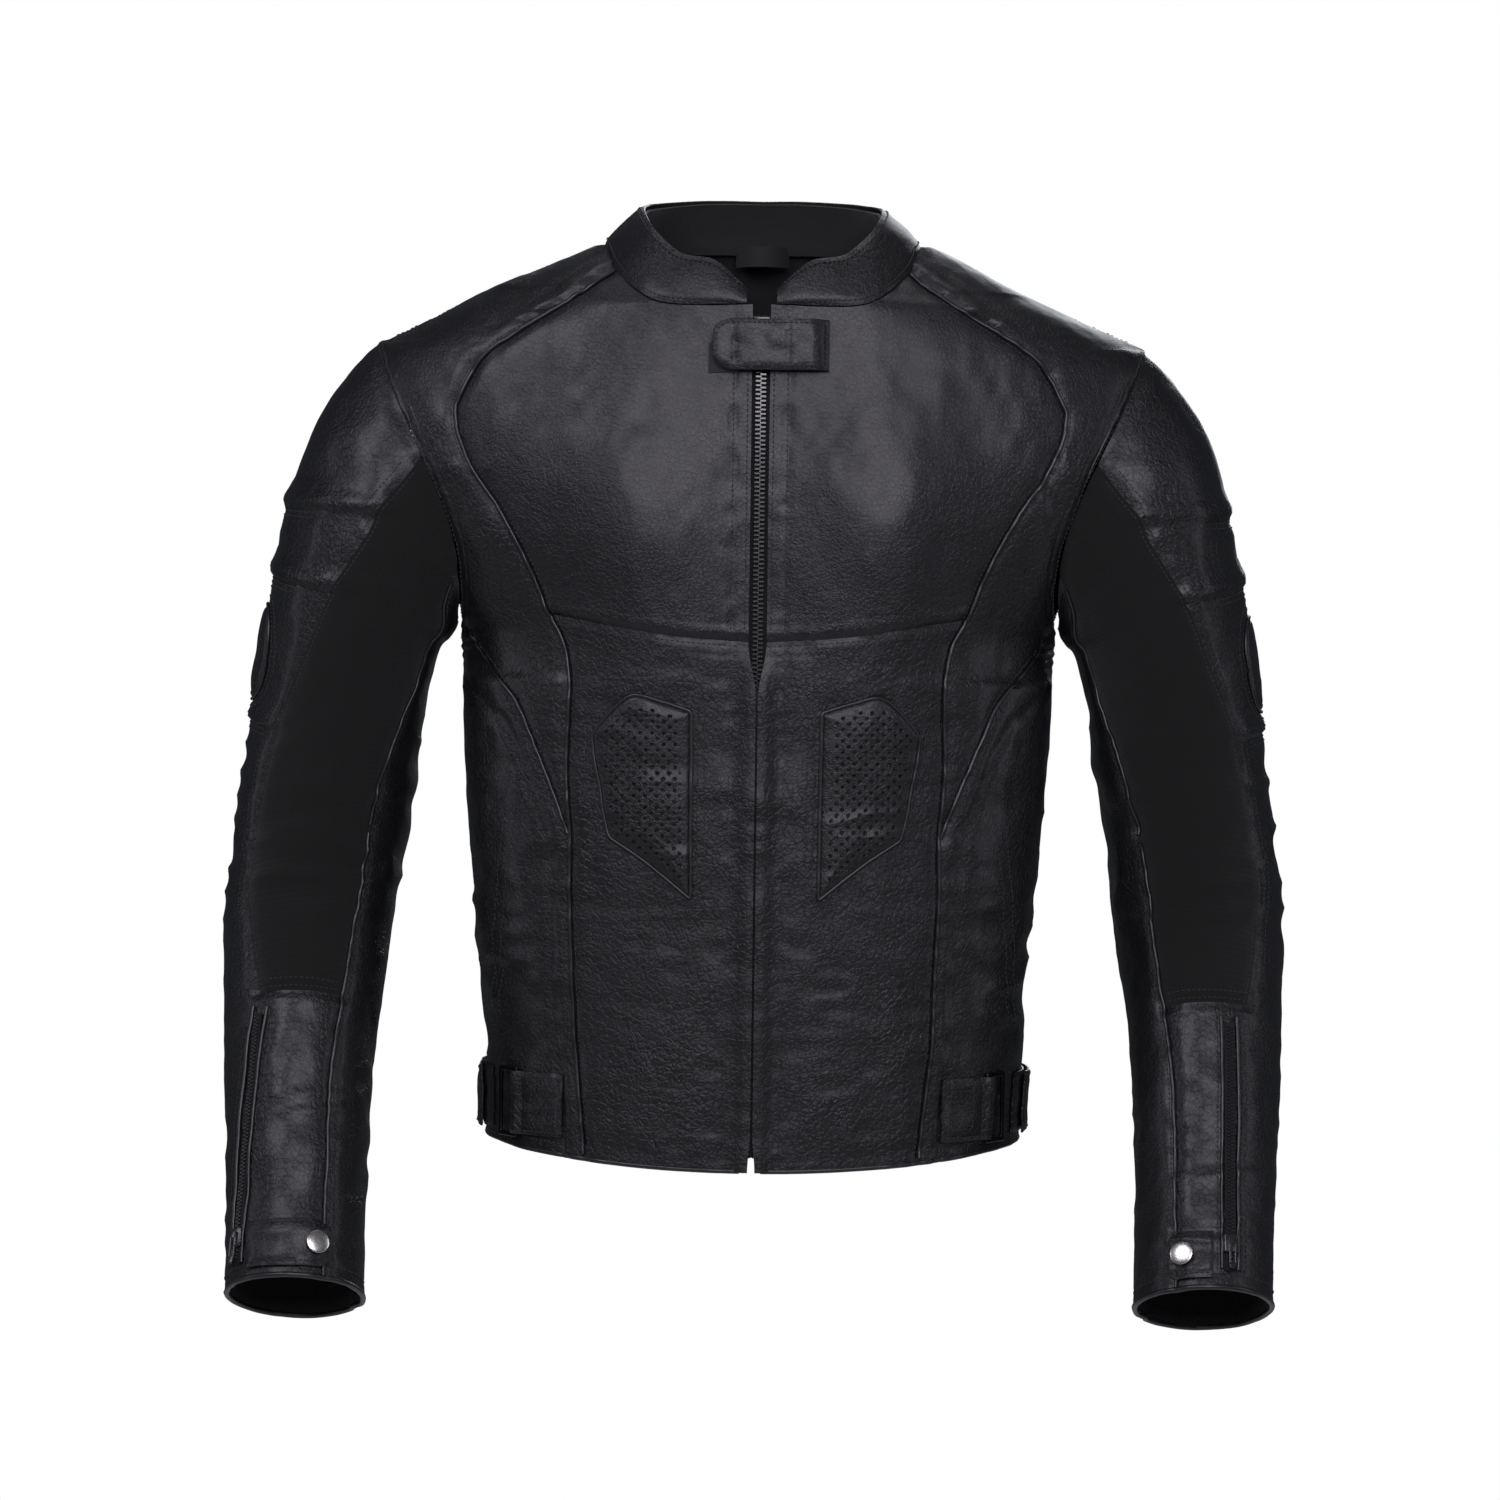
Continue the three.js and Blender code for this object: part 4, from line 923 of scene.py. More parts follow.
def on_collar(column, high, inset=0.0):
    """Column 0 is the wearer's left front end, 10 the centre back and 20 the right front end."""
    column, high = np.broadcast_arrays(np.asarray(column, float), np.asarray(high, float))
    turned = np.where(column > 10, 20 - column, column)
    spot = [low(turned) * (1 - high) + top(turned) * high for low, top in zip(collar_low, collar_high)]
    flat = np.maximum(np.hypot(spot[0], spot[1]), 1e-6)
    shrink = 1 - inset / flat
    belly = 1 + 1.6 * np.sin(np.pi * np.clip(high, 0, 1)) / flat
    side = np.where(column > 10, -1, 1)
    return np.stack([spot[0] * shrink * belly * side, MID_Y + spot[1] * shrink * belly, spot[2]], -1)


def collar_relief(points):
    return 0.5 * noise(points, (22, 22, 12), 31) + 0.3 * noise(points, (8, 8, 8), 32)


class CollarSkin(Skin):
    def __init__(self):
        self.kind, self.side, self.place, self.relief = "collar", 1, on_collar, collar_relief


STEP_B["collar"] = 0.02


def edge_distance(shape, wide, high):
    u = np.linspace(0, 1, shape[1])[None, :]
    v = np.linspace(0, 1, shape[0])[:, None]
    return np.minimum(np.minimum(u, 1 - u) * wide, np.minimum(v, 1 - v) * high)


def hole_mask(spots, pitch):
    """Round holes in staggered rows, over y-z length for a side face and x-z for a front one."""
    across = np.where(np.ptp(spots[..., 0]) > np.ptp(spots[..., 1]), spots[..., 0], spots[..., 1])
    row = np.round(spots[..., 2] / (pitch / 2))
    shifted = across + (row % 2) * pitch / 2
    column = np.round(shifted / pitch)
    gap = np.hypot(shifted - column * pitch, spots[..., 2] - row * pitch / 2)
    return smooth((1.2 - gap) / 0.55)


def groove(distance, *rows):
    return -0.35 * sum(np.exp(-(((distance - row) / 1.0) ** 2)) for row in rows)


columns, rows = count_for(330), count_for(34, 1.6)
chart = np.stack(np.broadcast_arrays(np.linspace(0, 20, columns)[None, :], np.linspace(0.0, 1, rows)[:, None]), -1)
away = edge_distance((rows, columns), 330, 34)
round_off = -1.2 * np.exp(-((away / 2.0) ** 2)) + groove(away, 3.2)
panel("collar", CollarSkin(), chart, leather_fine, lift=round_off, thick=2.6 + round_off)
chart = np.stack(np.broadcast_arrays(np.linspace(0.15, 19.85, columns)[None, :], np.linspace(-0.1, 0.97, rows)[:, None]), -1)
panel("collar_lining", CollarSkin(), chart, neoprene, lift=-4.6 - 0.4 * groove(away, 2.5, 9), thick=1.5, inside=neoprene)


# %% Pieces that lie on the torso: straps, pads and tabs
def laid(name, skin, corners, wide, high, lift, thick, outside, crown=0.0, inside=None, rows_at=(2.6,), size=1.8, cut=None, holes=0.0):
    """A piece over x and height on the front, or degrees and height, with rounded edges and a crown."""
    rows, columns = count_for(high, size), count_for(wide, size)
    chart = corners(rows, columns)
    away = edge_distance((rows, columns), wide, high)
    round_off = -1.0 * np.exp(-((away / 1.4) ** 2)) + groove(away, *rows_at)
    dome = crown * (1 - np.exp(-away / 9.0))
    spots = skin.place(chart[..., 0], chart[..., 1])
    dome = dome + 0.3 * noise(spots, (9, 9, 9), 41)
    drilled = hole_mask(spots, holes) * smooth((away - 6) / 1.5) if holes else 0 * dome
    dome = dome - 1.3 * drilled
    thing = panel(name, skin, chart, outside, cut, lift=lift + round_off + dome, thick=thick + round_off + dome, inside=inside or outside)
    # The holes are only shallow dimples; the shade attribute is lowered in them so the leather paints their inside
    # almost black, as painted shade.
    if holes:
        values = np.array([item.value for item in thing.data.attributes["shade"].data])
        values[: drilled.size] -= 11 * drilled.ravel()
        thing.data.attributes["shade"].data.foreach_set("value", values.astype(np.float32))
    return thing


def toward(x, z):
    return at(x, z)


strap_ends = profile([(-32, 0.12), (-31.4, 0.42), (-29.5, 0.68), (-25, 0.9), (-19, 1), (0, 1), (44, 1)])


def strap_chart(rows, columns):
    x = -32 + 76 * np.linspace(0, 1, columns)[None, :] ** 1.15
    v = np.linspace(-1, 1, rows)[:, None]
    return toward(x + 0 * v, -67.5 + 16.5 * v * strap_ends(x))


strap_lift = lambda x: 6.0 + 2.6 - 5.0 * np.clip((x - 30) / 13, 0, 1) ** 2
rows, columns = count_for(33, 1.5), count_for(76, 1.5)
u = -32 + 76 * np.linspace(0, 1, columns)[None, :] ** 1.15
lift = strap_lift(u) + 0 * np.zeros((rows, 1))
laid("throat_strap", whole, strap_chart, 76, 33, lift, 2.8, leather_fine, inside=raw_edge, size=1.5)
patch_chart = lambda rows, columns: toward(
    -34 + 19 * np.linspace(0, 1, columns)[None, :] + np.zeros((rows, 1)),
    -85.5 + 19.5 * np.linspace(0, 1, rows)[:, None] + np.zeros((1, columns)),
)
laid("throat_patch", whole, patch_chart, 19, 19, 2.2, 1.4, hook_patch, rows_at=())

flap_chart = lambda rows, columns: toward(
    -26 + 50 * np.linspace(0, 1, columns)[None, :] + np.zeros((rows, 1)),
    -591 + 543 * np.linspace(0, 1, rows)[:, None] + np.zeros((1, columns)),
)
zip_sag = lambda z: (MID_Y - front_depth(z)) - (-159.5 + (z + 592) * (-131.5 + 159.5) / 545)
heights = np.linspace(-591, -48, count_for(543, 4))[:, None]
line_y = -159.97 + (heights + 592) * 0.0533
depth = line_y - (MID_Y - front_depth(heights)) + 5.0
share = np.clip((np.linspace(-26, 24, count_for(50, 4))[None, :] - 13) / 8, 0, 1)
laid("wind_flap", whole, flap_chart, 50, 543, -(depth * (1 - share) + 3.9 * share), 1.6, neoprene, rows_at=(3,), size=4)
print("zip line at the bottom and top:", line_y[0, 0], line_y[-1, 0])

PAD = {
    "lower": [(41, -425), (70, -402), (94, -386)],
    "upper": [(42, -304), (61, -298), (80, -294), (94, -305), (106, -320)],
    "outer": [(94, -386), (98, -369), (100, -355), (104, -336), (106, -320)],
    "inner": [(41, -425), (42, -304)],
}
for tag, side in SIDES:
    skin = Skin("torso", side)
    pad_chart = lambda rows, columns: to_chart(coons(*(spline(PAD[key]) for key in ("lower", "upper", "inner", "outer")), rows, columns))
    laid(f"belly_pad_{tag}", skin, pad_chart, 62, 110, 1.6, 2.4, leather_fine, crown=3.0, rows_at=(), size=0.56, holes=7.4)

    def patch(first, last):
        return lambda rows, columns: np.stack(np.broadcast_arrays(
            np.linspace(first, last, columns)[None, :], np.linspace(-582, -541, rows)[:, None]), -1)

    over_bar = 3.3 * smooth((np.linspace(0, 1, count_for(38, 1.8)) - 0.78) / 0.12)[None, :]
    laid(f"waist_tab_{tag}", skin, patch(44, 60.5), 38, 41, 3.2 + over_bar, 2.4, leather_coarse, rows_at=(2.4,))
    laid(f"waist_strap_{tag}", skin, patch(74, 128), 112, 41, 2.4, 1.8, leather_coarse, rows_at=(2.4,))
    laid(f"waist_strap_end_{tag}", skin, patch(79.5, 108), 60, 41, 6.2, 2.0, leather_coarse, rows_at=(2.4, 5.4))
    low_angle = {"l": 74, "r": 40}[tag]
    arm = Skin("sleeve", side)
    tab_ends = profile([(0, 1), (0.8, 1), (0.9, 0.9), (0.97, 0.68), (1, 0.35)])

    def tab_chart(rows, columns):
        u = np.linspace(0, 1, columns)[None, :]
        v = np.linspace(-1, 1, rows)[:, None]
        return np.stack(np.broadcast_arrays(low_angle + 14 + (112 - low_angle) * u, 10.7 + 0.21 * v * tab_ends(u)), -1)

    laid(f"cuff_tab_{tag}", arm, tab_chart, 45, 27, 3.2, 2.6, leather_fine, rows_at=(2.4,), size=1.3)

# %% Oval pads on the outer arms
for tag, side in SIDES:
    def oval(rows, columns):
        v = np.linspace(-1, 1, rows)[:, None]
        half = 24 * np.clip(1 - np.abs(v) ** 3.4, 0.004, 1) ** (1 / 3.0)
        return np.stack([4 + half * np.linspace(-1, 1, columns)[None, :], 3.78 - 0.5 * v + 0 * half * np.zeros((1, columns))], -1)

    laid(f"bicep_pad_{tag}", Skin("sleeve", side), oval, 44, 54, 1.8, 2.6, leather_fine, crown=3.2, rows_at=(), size=0.56, holes=6.4)

# %% [markdown]
# ## Hanger loop and protectors
# The loop is a bowed woven band with a blank label. The protectors are foam pads hidden under
# the shoulders, elbows and back.

# %% Loop and foam
t = np.linspace(-1, 1, 33)
bow = np.stack([18 * t, 8.4 - 13.2 * (1 - t * t), 0 * t], -1)
tangent = unit(np.gradient(bow, axis=0))
facing = np.cross(tangent, [0, 0, 1.0])
band_rows = np.linspace(-7, 7, 9)
spots = bow[None] + np.stack([0 * band_rows, 0 * band_rows, band_rows], -1)[:, None]
points, faces, slots, used = closed(spots, np.broadcast_to(facing, spots.shape), None, 1.1)
panels["hanger_loop"] = mesh_object("hanger_loop", points, faces, [label], uv=np.zeros((len(points), 2)), shade=np.zeros(len(points)))
panels["hanger_loop"]["flat"] = (0.014, float(np.linalg.norm(np.diff(bow, axis=0), axis=1).sum()) * MM)


def pad_piece(name, skin, a_range, b_range, wide, high, depth):
    chart = np.stack(np.broadcast_arrays(
        np.linspace(*a_range, count_for(wide, 5))[None, :], np.linspace(*b_range, count_for(high, 5))[:, None]), -1)
    away = edge_distance(chart.shape[:2], wide, high)
    taper = 5.0 * (1 - np.exp(-away / 6))
    return panel(name, skin, chart, foam, lift=-depth - 5.0 + taper, thick=2.0 + taper, inside=foam)


pad_piece("back_protector", whole, (150, 210), (-400, -125), 110, 275, 8.5)
for tag, side in SIDES:
    pad_piece(f"shoulder_protector_{tag}", Skin("sleeve", side), (-50, 50), (0.5, 2), 120, 90, 9)
    pad_piece(f"elbow_protector_{tag}", Skin("sleeve", side), (-120, -20), (6.2, 8.2), 100, 105, 7.5)
print("all soft pieces:", len(panels))

# %% [markdown]
# ## Riding
# Torso pieces ride the torso; the throat strap, cuff tabs and waist strap ends ride bodies of their own.
# Sleeve pieces and their trims only have their transforms applied.

# %% Bodies
def arm_blend(thing, side):
    out = np.array([0.9565 * side, 0, -0.2916])
    start = np.array([226.5 * side, -49, -156.5]) + out * 4
    f"upper_sleeve_{'l' if side > 0 else 'r'}"
    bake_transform(thing)


def elbow_blend(thing, side):
    tag = "l" if side > 0 else "r"
    start = np.array([290.5 * side, MID_Y + 6, -392.0])
    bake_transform(thing)


UPPER = ("sleeve_cap", "upper_arm_panel", "upper_stretch_panel", "underarm_panel", "shoulder_protector", "bicep_pad")
FORE = ("forearm_panel", "forearm_stretch_panel", "forearm_inner_panel", "elbow_protector")
OWN_BODY = {"throat_strap": "throat_strap", "cuff_tab_l": "cuff_tab_l", "cuff_tab_r": "cuff_tab_r",
            "waist_strap_end_l": "waist_strap_end_l", "waist_strap_end_r": "waist_strap_end_r"}
for name, thing in panels.items():
    base, tag = (name[:-2], name[-1]) if name[-2:] in ("_l", "_r") else (name, "")
    side = -1 if tag == "r" else 1
    if base != "bicep_pad":
        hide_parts(name)
    if base in UPPER:
        arm_blend(thing, side)
    elif base in FORE:
        elbow_blend(thing, side)
    else:
        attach(thing, OWN_BODY.get(name, "torso"))
    if "stretch_panel" in name:
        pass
    elif "protector" in name:
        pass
    elif name in ("collar_lining", "wind_flap", "hanger_loop", "throat_patch"):
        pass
    else:
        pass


# %% [markdown]
# ## Piping, stitches and pad outlines
# Piping is a thin tube swept along a seam. A stitch is a tiny capsule, repeated along the
# seam at the pitch of a sewing machine. Both are laid on the leather after its relief, so they
# sit in the seam's valley. Real thread could be a curve, but short capsules show each stitch.

# %% Paths on a surface
def shifted(skin, chart, away):
    """The chart path moved sideways over the surface by a distance in millimetres."""
    step_b = STEP_B[skin.kind]
    a, b = chart[:, 0], chart[:, 1]
    base = skin.place(a, b)
    along = unit(np.gradient(base, axis=0))
    facing = normals(skin.place, a, b, step_b)
    sideways = np.cross(facing, along) * skin.side
    by_a = (skin.place(a + 0.05, b) - skin.place(a - 0.05, b)) / 0.1
    by_b = (skin.place(a, b + step_b) - skin.place(a, b - step_b)) / (2 * step_b)
    aa, ab, bb = (by_a * by_a).sum(-1), (by_a * by_b).sum(-1), (by_b * by_b).sum(-1)
    target = sideways * away
    ta, tb = (target * by_a).sum(-1), (target * by_b).sum(-1)
    det = aa * bb - ab * ab
    return np.stack([a + (ta * bb - tb * ab) / det, b + (tb * aa - ta * ab) / det], -1)


def even(skin, chart, pitch, lift):
    """Points, outward directions and tangents at an even pitch along a chart path."""
    if skin.kind == "torso":
        chart = chart[chart[:, 1] > hem(chart[:, 0]) + 1.2]
    rough = skin.place(chart[:, 0], chart[:, 1])
    length = np.concatenate([[0], np.cumsum(np.linalg.norm(np.diff(rough, axis=0), axis=1))])
    count = max(2, int(length[-1] / pitch))
    where = (np.arange(count) + 0.5) * length[-1] / count
    chart = np.stack([np.interp(where, length, chart[:, k]) for k in range(2)], -1)
    spots, facing = skin.points(chart[:, 0], chart[:, 1], lift(chart) if callable(lift) else lift)
    return spots, facing, unit(np.gradient(spots, axis=0))


trims = {}


def collect(key, finish, points, faces):
    store = trims.setdefault((key, finish.name), [finish, [], [], 0])
    store[1].append(points)
    store[2].append(faces + store[3])
    store[3] += len(points)


def swept(spots, facing, radius, sides=8):
    """A tube along points, closed by flat fans at both ends."""
    tangent = unit(np.gradient(spots, axis=0))
    across = unit(np.cross(tangent, facing))
    up = np.cross(across, tangent)
    turn = np.linspace(0, 2 * math.pi, sides, endpoint=False)
    ring = across[:, None] * np.cos(turn)[None, :, None] + up[:, None] * np.sin(turn)[None, :, None]
    points = (spots[:, None] + ring * radius).reshape(-1, 3)
    spot = np.arange(len(spots) * sides).reshape(len(spots), sides)
    near = np.roll(spot, -1, 1)
    faces = np.stack([spot[:-1], near[:-1], near[1:], spot[1:]], -1).reshape(-1, 4)
    middle = len(points)
    points = np.concatenate([points, spots[:1], spots[-1:]])
    first = np.stack([near[0], spot[0], np.full(sides, middle), np.full(sides, middle)], -1)
    last = np.stack([spot[-1], near[-1], np.full(sides, middle + 1), np.full(sides, middle + 1)], -1)
    return points, np.concatenate([faces, first, last])


def piping(key, skin, chart, radius=1.5, lift=0.3, away=0.0, finish=None):
    chart = shifted(skin, chart, away) if away else chart
    spots, facing, tangent = even(skin, chart, 3.0, lift)
    collect(key, finish or piping_leather, *swept(spots, facing, radius))


RING = np.array([(math.cos(t), math.sin(t)) for t in np.linspace(0, 2 * math.pi, 6, endpoint=False)])


def stitches(key, skin, chart, away=0.0, pitch=3.3, lift=0.12, long=2.5, radius=0.42):
    chart = shifted(skin, chart, away) if away else chart
    spots, facing, tangent = even(skin, chart, pitch, lift)
    across = np.cross(tangent, facing)
    rings = []
    for along, size, sink in ((-0.5, 0.45, -0.35), (-0.28, 1, 0), (0.28, 1, 0), (0.5, 0.45, -0.35)):
        centre = spots + tangent * along * long + facing * sink
        ring = across[:, None] * RING[None, :, :1] + facing[:, None] * RING[None, :, 1:]
        rings.append(centre[:, None] + ring * radius * size)
    points = np.stack(rings, 1).reshape(-1, 3)
    start = (np.arange(len(spots)) * 24)[:, None, None]
    one = []
    for level in range(3):
        for k in range(6):
            n = (k + 1) % 6
            one.append((level * 6 + k, level * 6 + n, level * 6 + 6 + n, level * 6 + 6 + k))
    one += [(5, 4, 1, 0), (4, 3, 2, 1), (18, 19, 22, 23), (19, 20, 21, 22)]
    collect(key, thread, points, (start + np.array(one)[None]).reshape(-1, 4))


# %% Rows of stitches and piping
for tag, side in SIDES:
    skin, arm = Skin("torso", side), Skin("sleeve", side)
    seams, arms = torso_seams[tag], sleeve_seams[tag]
    body, upper, fore = "torso", f"upper_{tag}", f"fore_{tag}"
    line = seams["piping"].chart
    piping(body, skin, line, 1.5, 1.0)
    stitches(body, skin, line[:-12], 3.2)
    stitches(body, skin, line[110:-12], -3.2)
    line = seams["side_piping"].chart
    piping(body, skin, line, 1.4, 0.9)
    stitches(body, skin, line, -3.0)
    stitches(body, skin, seams["side_seam"].chart, 2.2)
    stitches(body, skin, seams["side_seam"].chart, -2.2)
    for away in (0, 9):
        stitches(body, skin, seams["pocket"].chart, away)
    stitches(body, skin, seams["chest"].chart[6:], -3.0)
    stitches(body, skin, seams["chest"].chart[6:], -9.0)
    stitches(body, skin, at(np.full(170, 17.5), np.linspace(-592, -48, 170)), 0)
    stitches(body, skin, at(np.full(100, 8.5), np.linspace(-255, -48, 100)), 0)
    stitches(body, skin, seams["yoke"].chart, 0)
    edge = np.linspace(2 if side > 0 else 2.5, 179.9, 260)
    edge_spots, edge_facing = skin.points(edge, hem(edge) + 0.9, -1.0)
    collect(body, piping_leather, *swept(edge_spots, edge_facing, 1.75))
    edge = np.linspace(0, 360, 160)
    edge_spots, edge_facing = arm.points(edge, np.full(160, CUFF - 0.01), -1.0)
    collect(fore, piping_leather, *swept(edge_spots, edge_facing, 1.9))
    front_hem = np.linspace(3, 178 if side > 0 else 179.8, 220)
    stitches(body, skin, np.stack([front_hem, hem(front_hem) + 8], -1), 0)
    stitches(body, skin, np.stack([np.full(80, 89.0), np.linspace(-66, -244, 80)], -1), 0)
    stitches(body, skin, shifted(skin, np.stack([np.full(60, 89.0), np.linspace(-68, -145, 60)], -1), 8), 0)
    stitches(body, skin, np.stack([np.full(80, 92.0), np.linspace(-66, -244, 80)], -1), 0)
    stitches(body, skin, np.stack([np.full(60, 92.0), np.linspace(-58, -2, 60)], -1), 0)
    back_line = np.stack([np.linspace(96, 179.8, 120), np.full(120, -110.0)], -1)
    for away in (-3, -9):
        stitches(body, skin, back_line, away)
    piping(body, skin, seams["princess"].chart, 1.4, 0.9)
    for away in (-3.2, 3.2):
        stitches(body, skin, seams["princess"].chart, away)

    def both(chart, draw):
        """Draws a path that crosses the elbow as one part above it and one below."""
        for key, chosen in ((upper, chart[chart[:, 1] <= ELBOW + 0.02]), (fore, chart[chart[:, 1] >= ELBOW - 0.02])):
            if len(chosen) > 2:
                draw(key, chosen)

    both(arms["stretch_inner"].chart[4:], lambda key, chart: piping(key, arm, chart, 1.4, 0.8))
    both(arms["stretch_inner"].chart[4:], lambda key, chart: stitches(key, arm, chart, -3.0))
    for away in (-2.6, 3.4, 8.5):
        both(arms["stretch_outer"].chart[5:], lambda key, chart: stitches(key, arm, chart, away))
    for away in (-3, 3):
        both(arms["back"].chart[4:], lambda key, chart: stitches(key, arm, chart, away))
    for name in ("band_1", "band_2", "band_3"):
        for away in (-2.5, -6.0):
            stitches(upper, arm, arms[name].chart[2:-2], -away)
    stitches(fore, arm, arms["stretch_end"].chart[2:-2], -3.2)
    stitches(fore, arm, arms["stretch_end"].chart[2:-2], -8.0)
    stitches(fore, arm, np.stack([np.linspace(0, 360, 200), np.full(200, CUFF - 0.13)], -1), 0)
def outline(key):
    parts = [spline(PAD[side_name])(np.linspace(0, 1, 40)) for side_name in ("lower", "outer", "upper", "inner")]
    loop = np.concatenate([parts[0], parts[1], parts[2][::-1], parts[3][::-1], parts[0][:3]])
    return at(loop[:, 0], loop[:, 1])


def box_path(first, last, low, high, count=40):
    corners = [(first, low), (last, low), (last, high), (first, high), (first, low)]
    steps = [np.linspace(a, b, count)[:-1] for a, b in zip(corners, corners[1:])]
    return np.concatenate([*steps, [corners[-1]]])


for tag, side in SIDES:
    skin, arm = Skin("torso", side), Skin("sleeve", side)
    piping("torso", skin, outline(tag), 1.3, 1.0)
    stitches("torso", skin, outline(tag), -4.0, lift=0.2)
    stitches("torso", skin, outline(tag), -8.5, lift=0.1)
    lift = 3.2 + 0.2
    stitches("torso", skin, box_path(45.1, 56.9, -579.2, -543.8), lift=lift)
    stitches("torso", skin, box_path(46.2, 53.2, -574, -549), lift=lift)
    stitches("torso", skin, np.stack([np.linspace(46.2, 53.2, 30), np.linspace(-574, -549, 30)], -1), lift=lift)
    stitches("torso", skin, np.stack([np.linspace(53.2, 46.2, 30), np.linspace(-574, -549, 30)], -1), lift=lift)
    for height in (-579.4, -543.6):
        stitches(f"waist_strap_end_{tag}", skin, np.stack([np.linspace(80.5, 107, 60), np.full(60, height)], -1), lift=6.1)
        stitches("torso", skin, np.stack([np.linspace(109, 127, 60), np.full(60, height)], -1), lift=2.6)
    turn = np.linspace(0, 2 * math.pi, 90)
    for reach in (1.22, 1.42):
        ring = np.stack([4 + 24 * reach * np.cos(turn), 3.78 - 0.5 * reach * np.sin(turn)], -1)
        stitches(f"upper_{tag}", arm, ring, lift=0.15)
    ring = np.stack([4 + 25 * np.sign(np.cos(turn)) * np.abs(np.cos(turn)) ** 0.75, 3.78 - 0.52 * np.sign(np.sin(turn)) * np.abs(np.sin(turn)) ** 0.75], -1)
    piping(f"upper_{tag}", arm, ring, 1.2, 0.9)
    low_angle = {"l": 74, "r": 40}[tag]
    u = np.linspace(0.05, 0.95, 60)
    for sign in (-1, 1):
        edge = np.stack([low_angle + 14 + (112 - low_angle) * u, 10.7 + sign * (0.21 * tab_ends(u) - 0.04)], -1)
        stitches(f"cuff_tab_{tag}", arm, edge, lift=3.3)
for tag, side in SIDES:
    high_angle, low_angle = {"l": (78, 74), "r": (64, 40)}[tag]
    t = np.linspace(-0.04, 1, 80)
    edge = np.stack([high_angle + (low_angle - high_angle) * t, 8.35 + 2.5 * t], -1)
    arm = Skin("sleeve", side)
    piping(f"fore_{tag}", arm, edge, 1.5, 1.0, away=5.4)
    piping(f"fore_{tag}", arm, edge, 1.2, 0.7, away=-5.2)
    for away in (8.2, 11.4, -8.0):
        stitches(f"fore_{tag}", arm, edge, away)
x = np.linspace(-29, 41, 80)
for sign in (-1, 1):
    edge = at(x, -67.5 + sign * (16.5 * strap_ends(x) - 2.6))
    stitches("throat_strap", whole, edge, lift=lambda chart: strap_lift(whole.place(chart[:, 0], chart[:, 1])[:, 0]) + 0.2)
for x_at in (41.5, 34.0):
    edge = at(np.full(30, x_at), np.linspace(-81, -54, 30))
    stitches("throat_strap", whole, edge, lift=strap_lift(x_at) + 0.2)
neck_skin = CollarSkin()
for high in (0.9, 0.1):
    stitches("torso", neck_skin, np.stack([np.linspace(0.2, 19.8, 400), np.full(400, high)], -1), lift=0.1)
print("stitch groups:", len(trims))

# %% [markdown]
# ## Metal and zips
# The hard pieces start from primitives: a box is a scaled cube with bevelled edges, a ring is a plane
# with its middle taken out, a snap is a short cylinder with a bevelled crown. Teeth are one
# small block, repeated.

# %% Hard pieces
def frame_matrix(x, y, z, p):
    turn = np.array([x, y, z], float)
    matrix = Matrix.Identity(4)
    for column in range(3):
        for row in range(3):
            matrix[row][column] = turn[column][row]
    for row in range(3):
        matrix[row][3] = p[row] * MM
    return matrix


def begin(kind, **options):
    bpy.ops.object.select_all(action="DESELECT")
    getattr(bpy.ops.mesh, "primitive_" + kind + "_add")(**options)
    return bpy.context.object


def size_to(thing, lo, hi):
    """Scales and moves a unit cube so that it fills a box in millimetres."""
    lo, hi = np.array(lo) * MM, np.array(hi) * MM
    thing.scale = tuple(hi - lo)
    thing.location = tuple((lo + hi) / 2)
    bpy.ops.object.transform_apply(location=True, rotation=False, scale=True)


def bevelled(thing, width, segments=3):
    modifier = thing.modifiers.new("edge", "BEVEL")
    modifier.width, modifier.segments, modifier.limit_method = width * MM, segments, "ANGLE"
    modifier.angle_limit = math.radians(35)
    bpy.context.view_layer.objects.active = thing
    bpy.ops.object.modifier_apply(modifier=modifier.name)


def joined_pieces(name, things, matrix, finish):
    bpy.ops.object.select_all(action="DESELECT")
    for thing in things:
        thing.select_set(True)
    bpy.context.view_layer.objects.active = things[0]
    if len(things) > 1:
        bpy.ops.object.join()
    whole_piece = bpy.context.object
    whole_piece.data.transform(matrix)
    whole_piece.data.materials.clear()
    whole_piece.data.materials.append(finish)
    whole_piece.name = name
    bpy.ops.object.shade_smooth_by_angle(angle=math.radians(35))
    return whole_piece


def cube(lo, hi, bevel=0.3):
    thing = begin("cube", size=1)
    size_to(thing, lo, hi)
    if bevel:
        bevelled(thing, bevel)
    return thing


def plate_with_hole(lo, hi, frame_width, hole_low, hole_high, bevel=0.35):
    """A flat plate along Y with one long window, made of four bevelled cubes round the window."""
    parts = [
        cube((lo[0], lo[1], lo[2]), (lo[0] + frame_width, hi[1], hi[2]), bevel),
        cube((hi[0] - frame_width, lo[1], lo[2]), (hi[0], hi[1], hi[2]), bevel),
        cube((lo[0], lo[1], lo[2]), (hi[0], hole_low, hi[2]), bevel),
        cube((lo[0], hole_high, lo[2]), (hi[0], hi[1], hi[2]), bevel),
    ]
    return parts


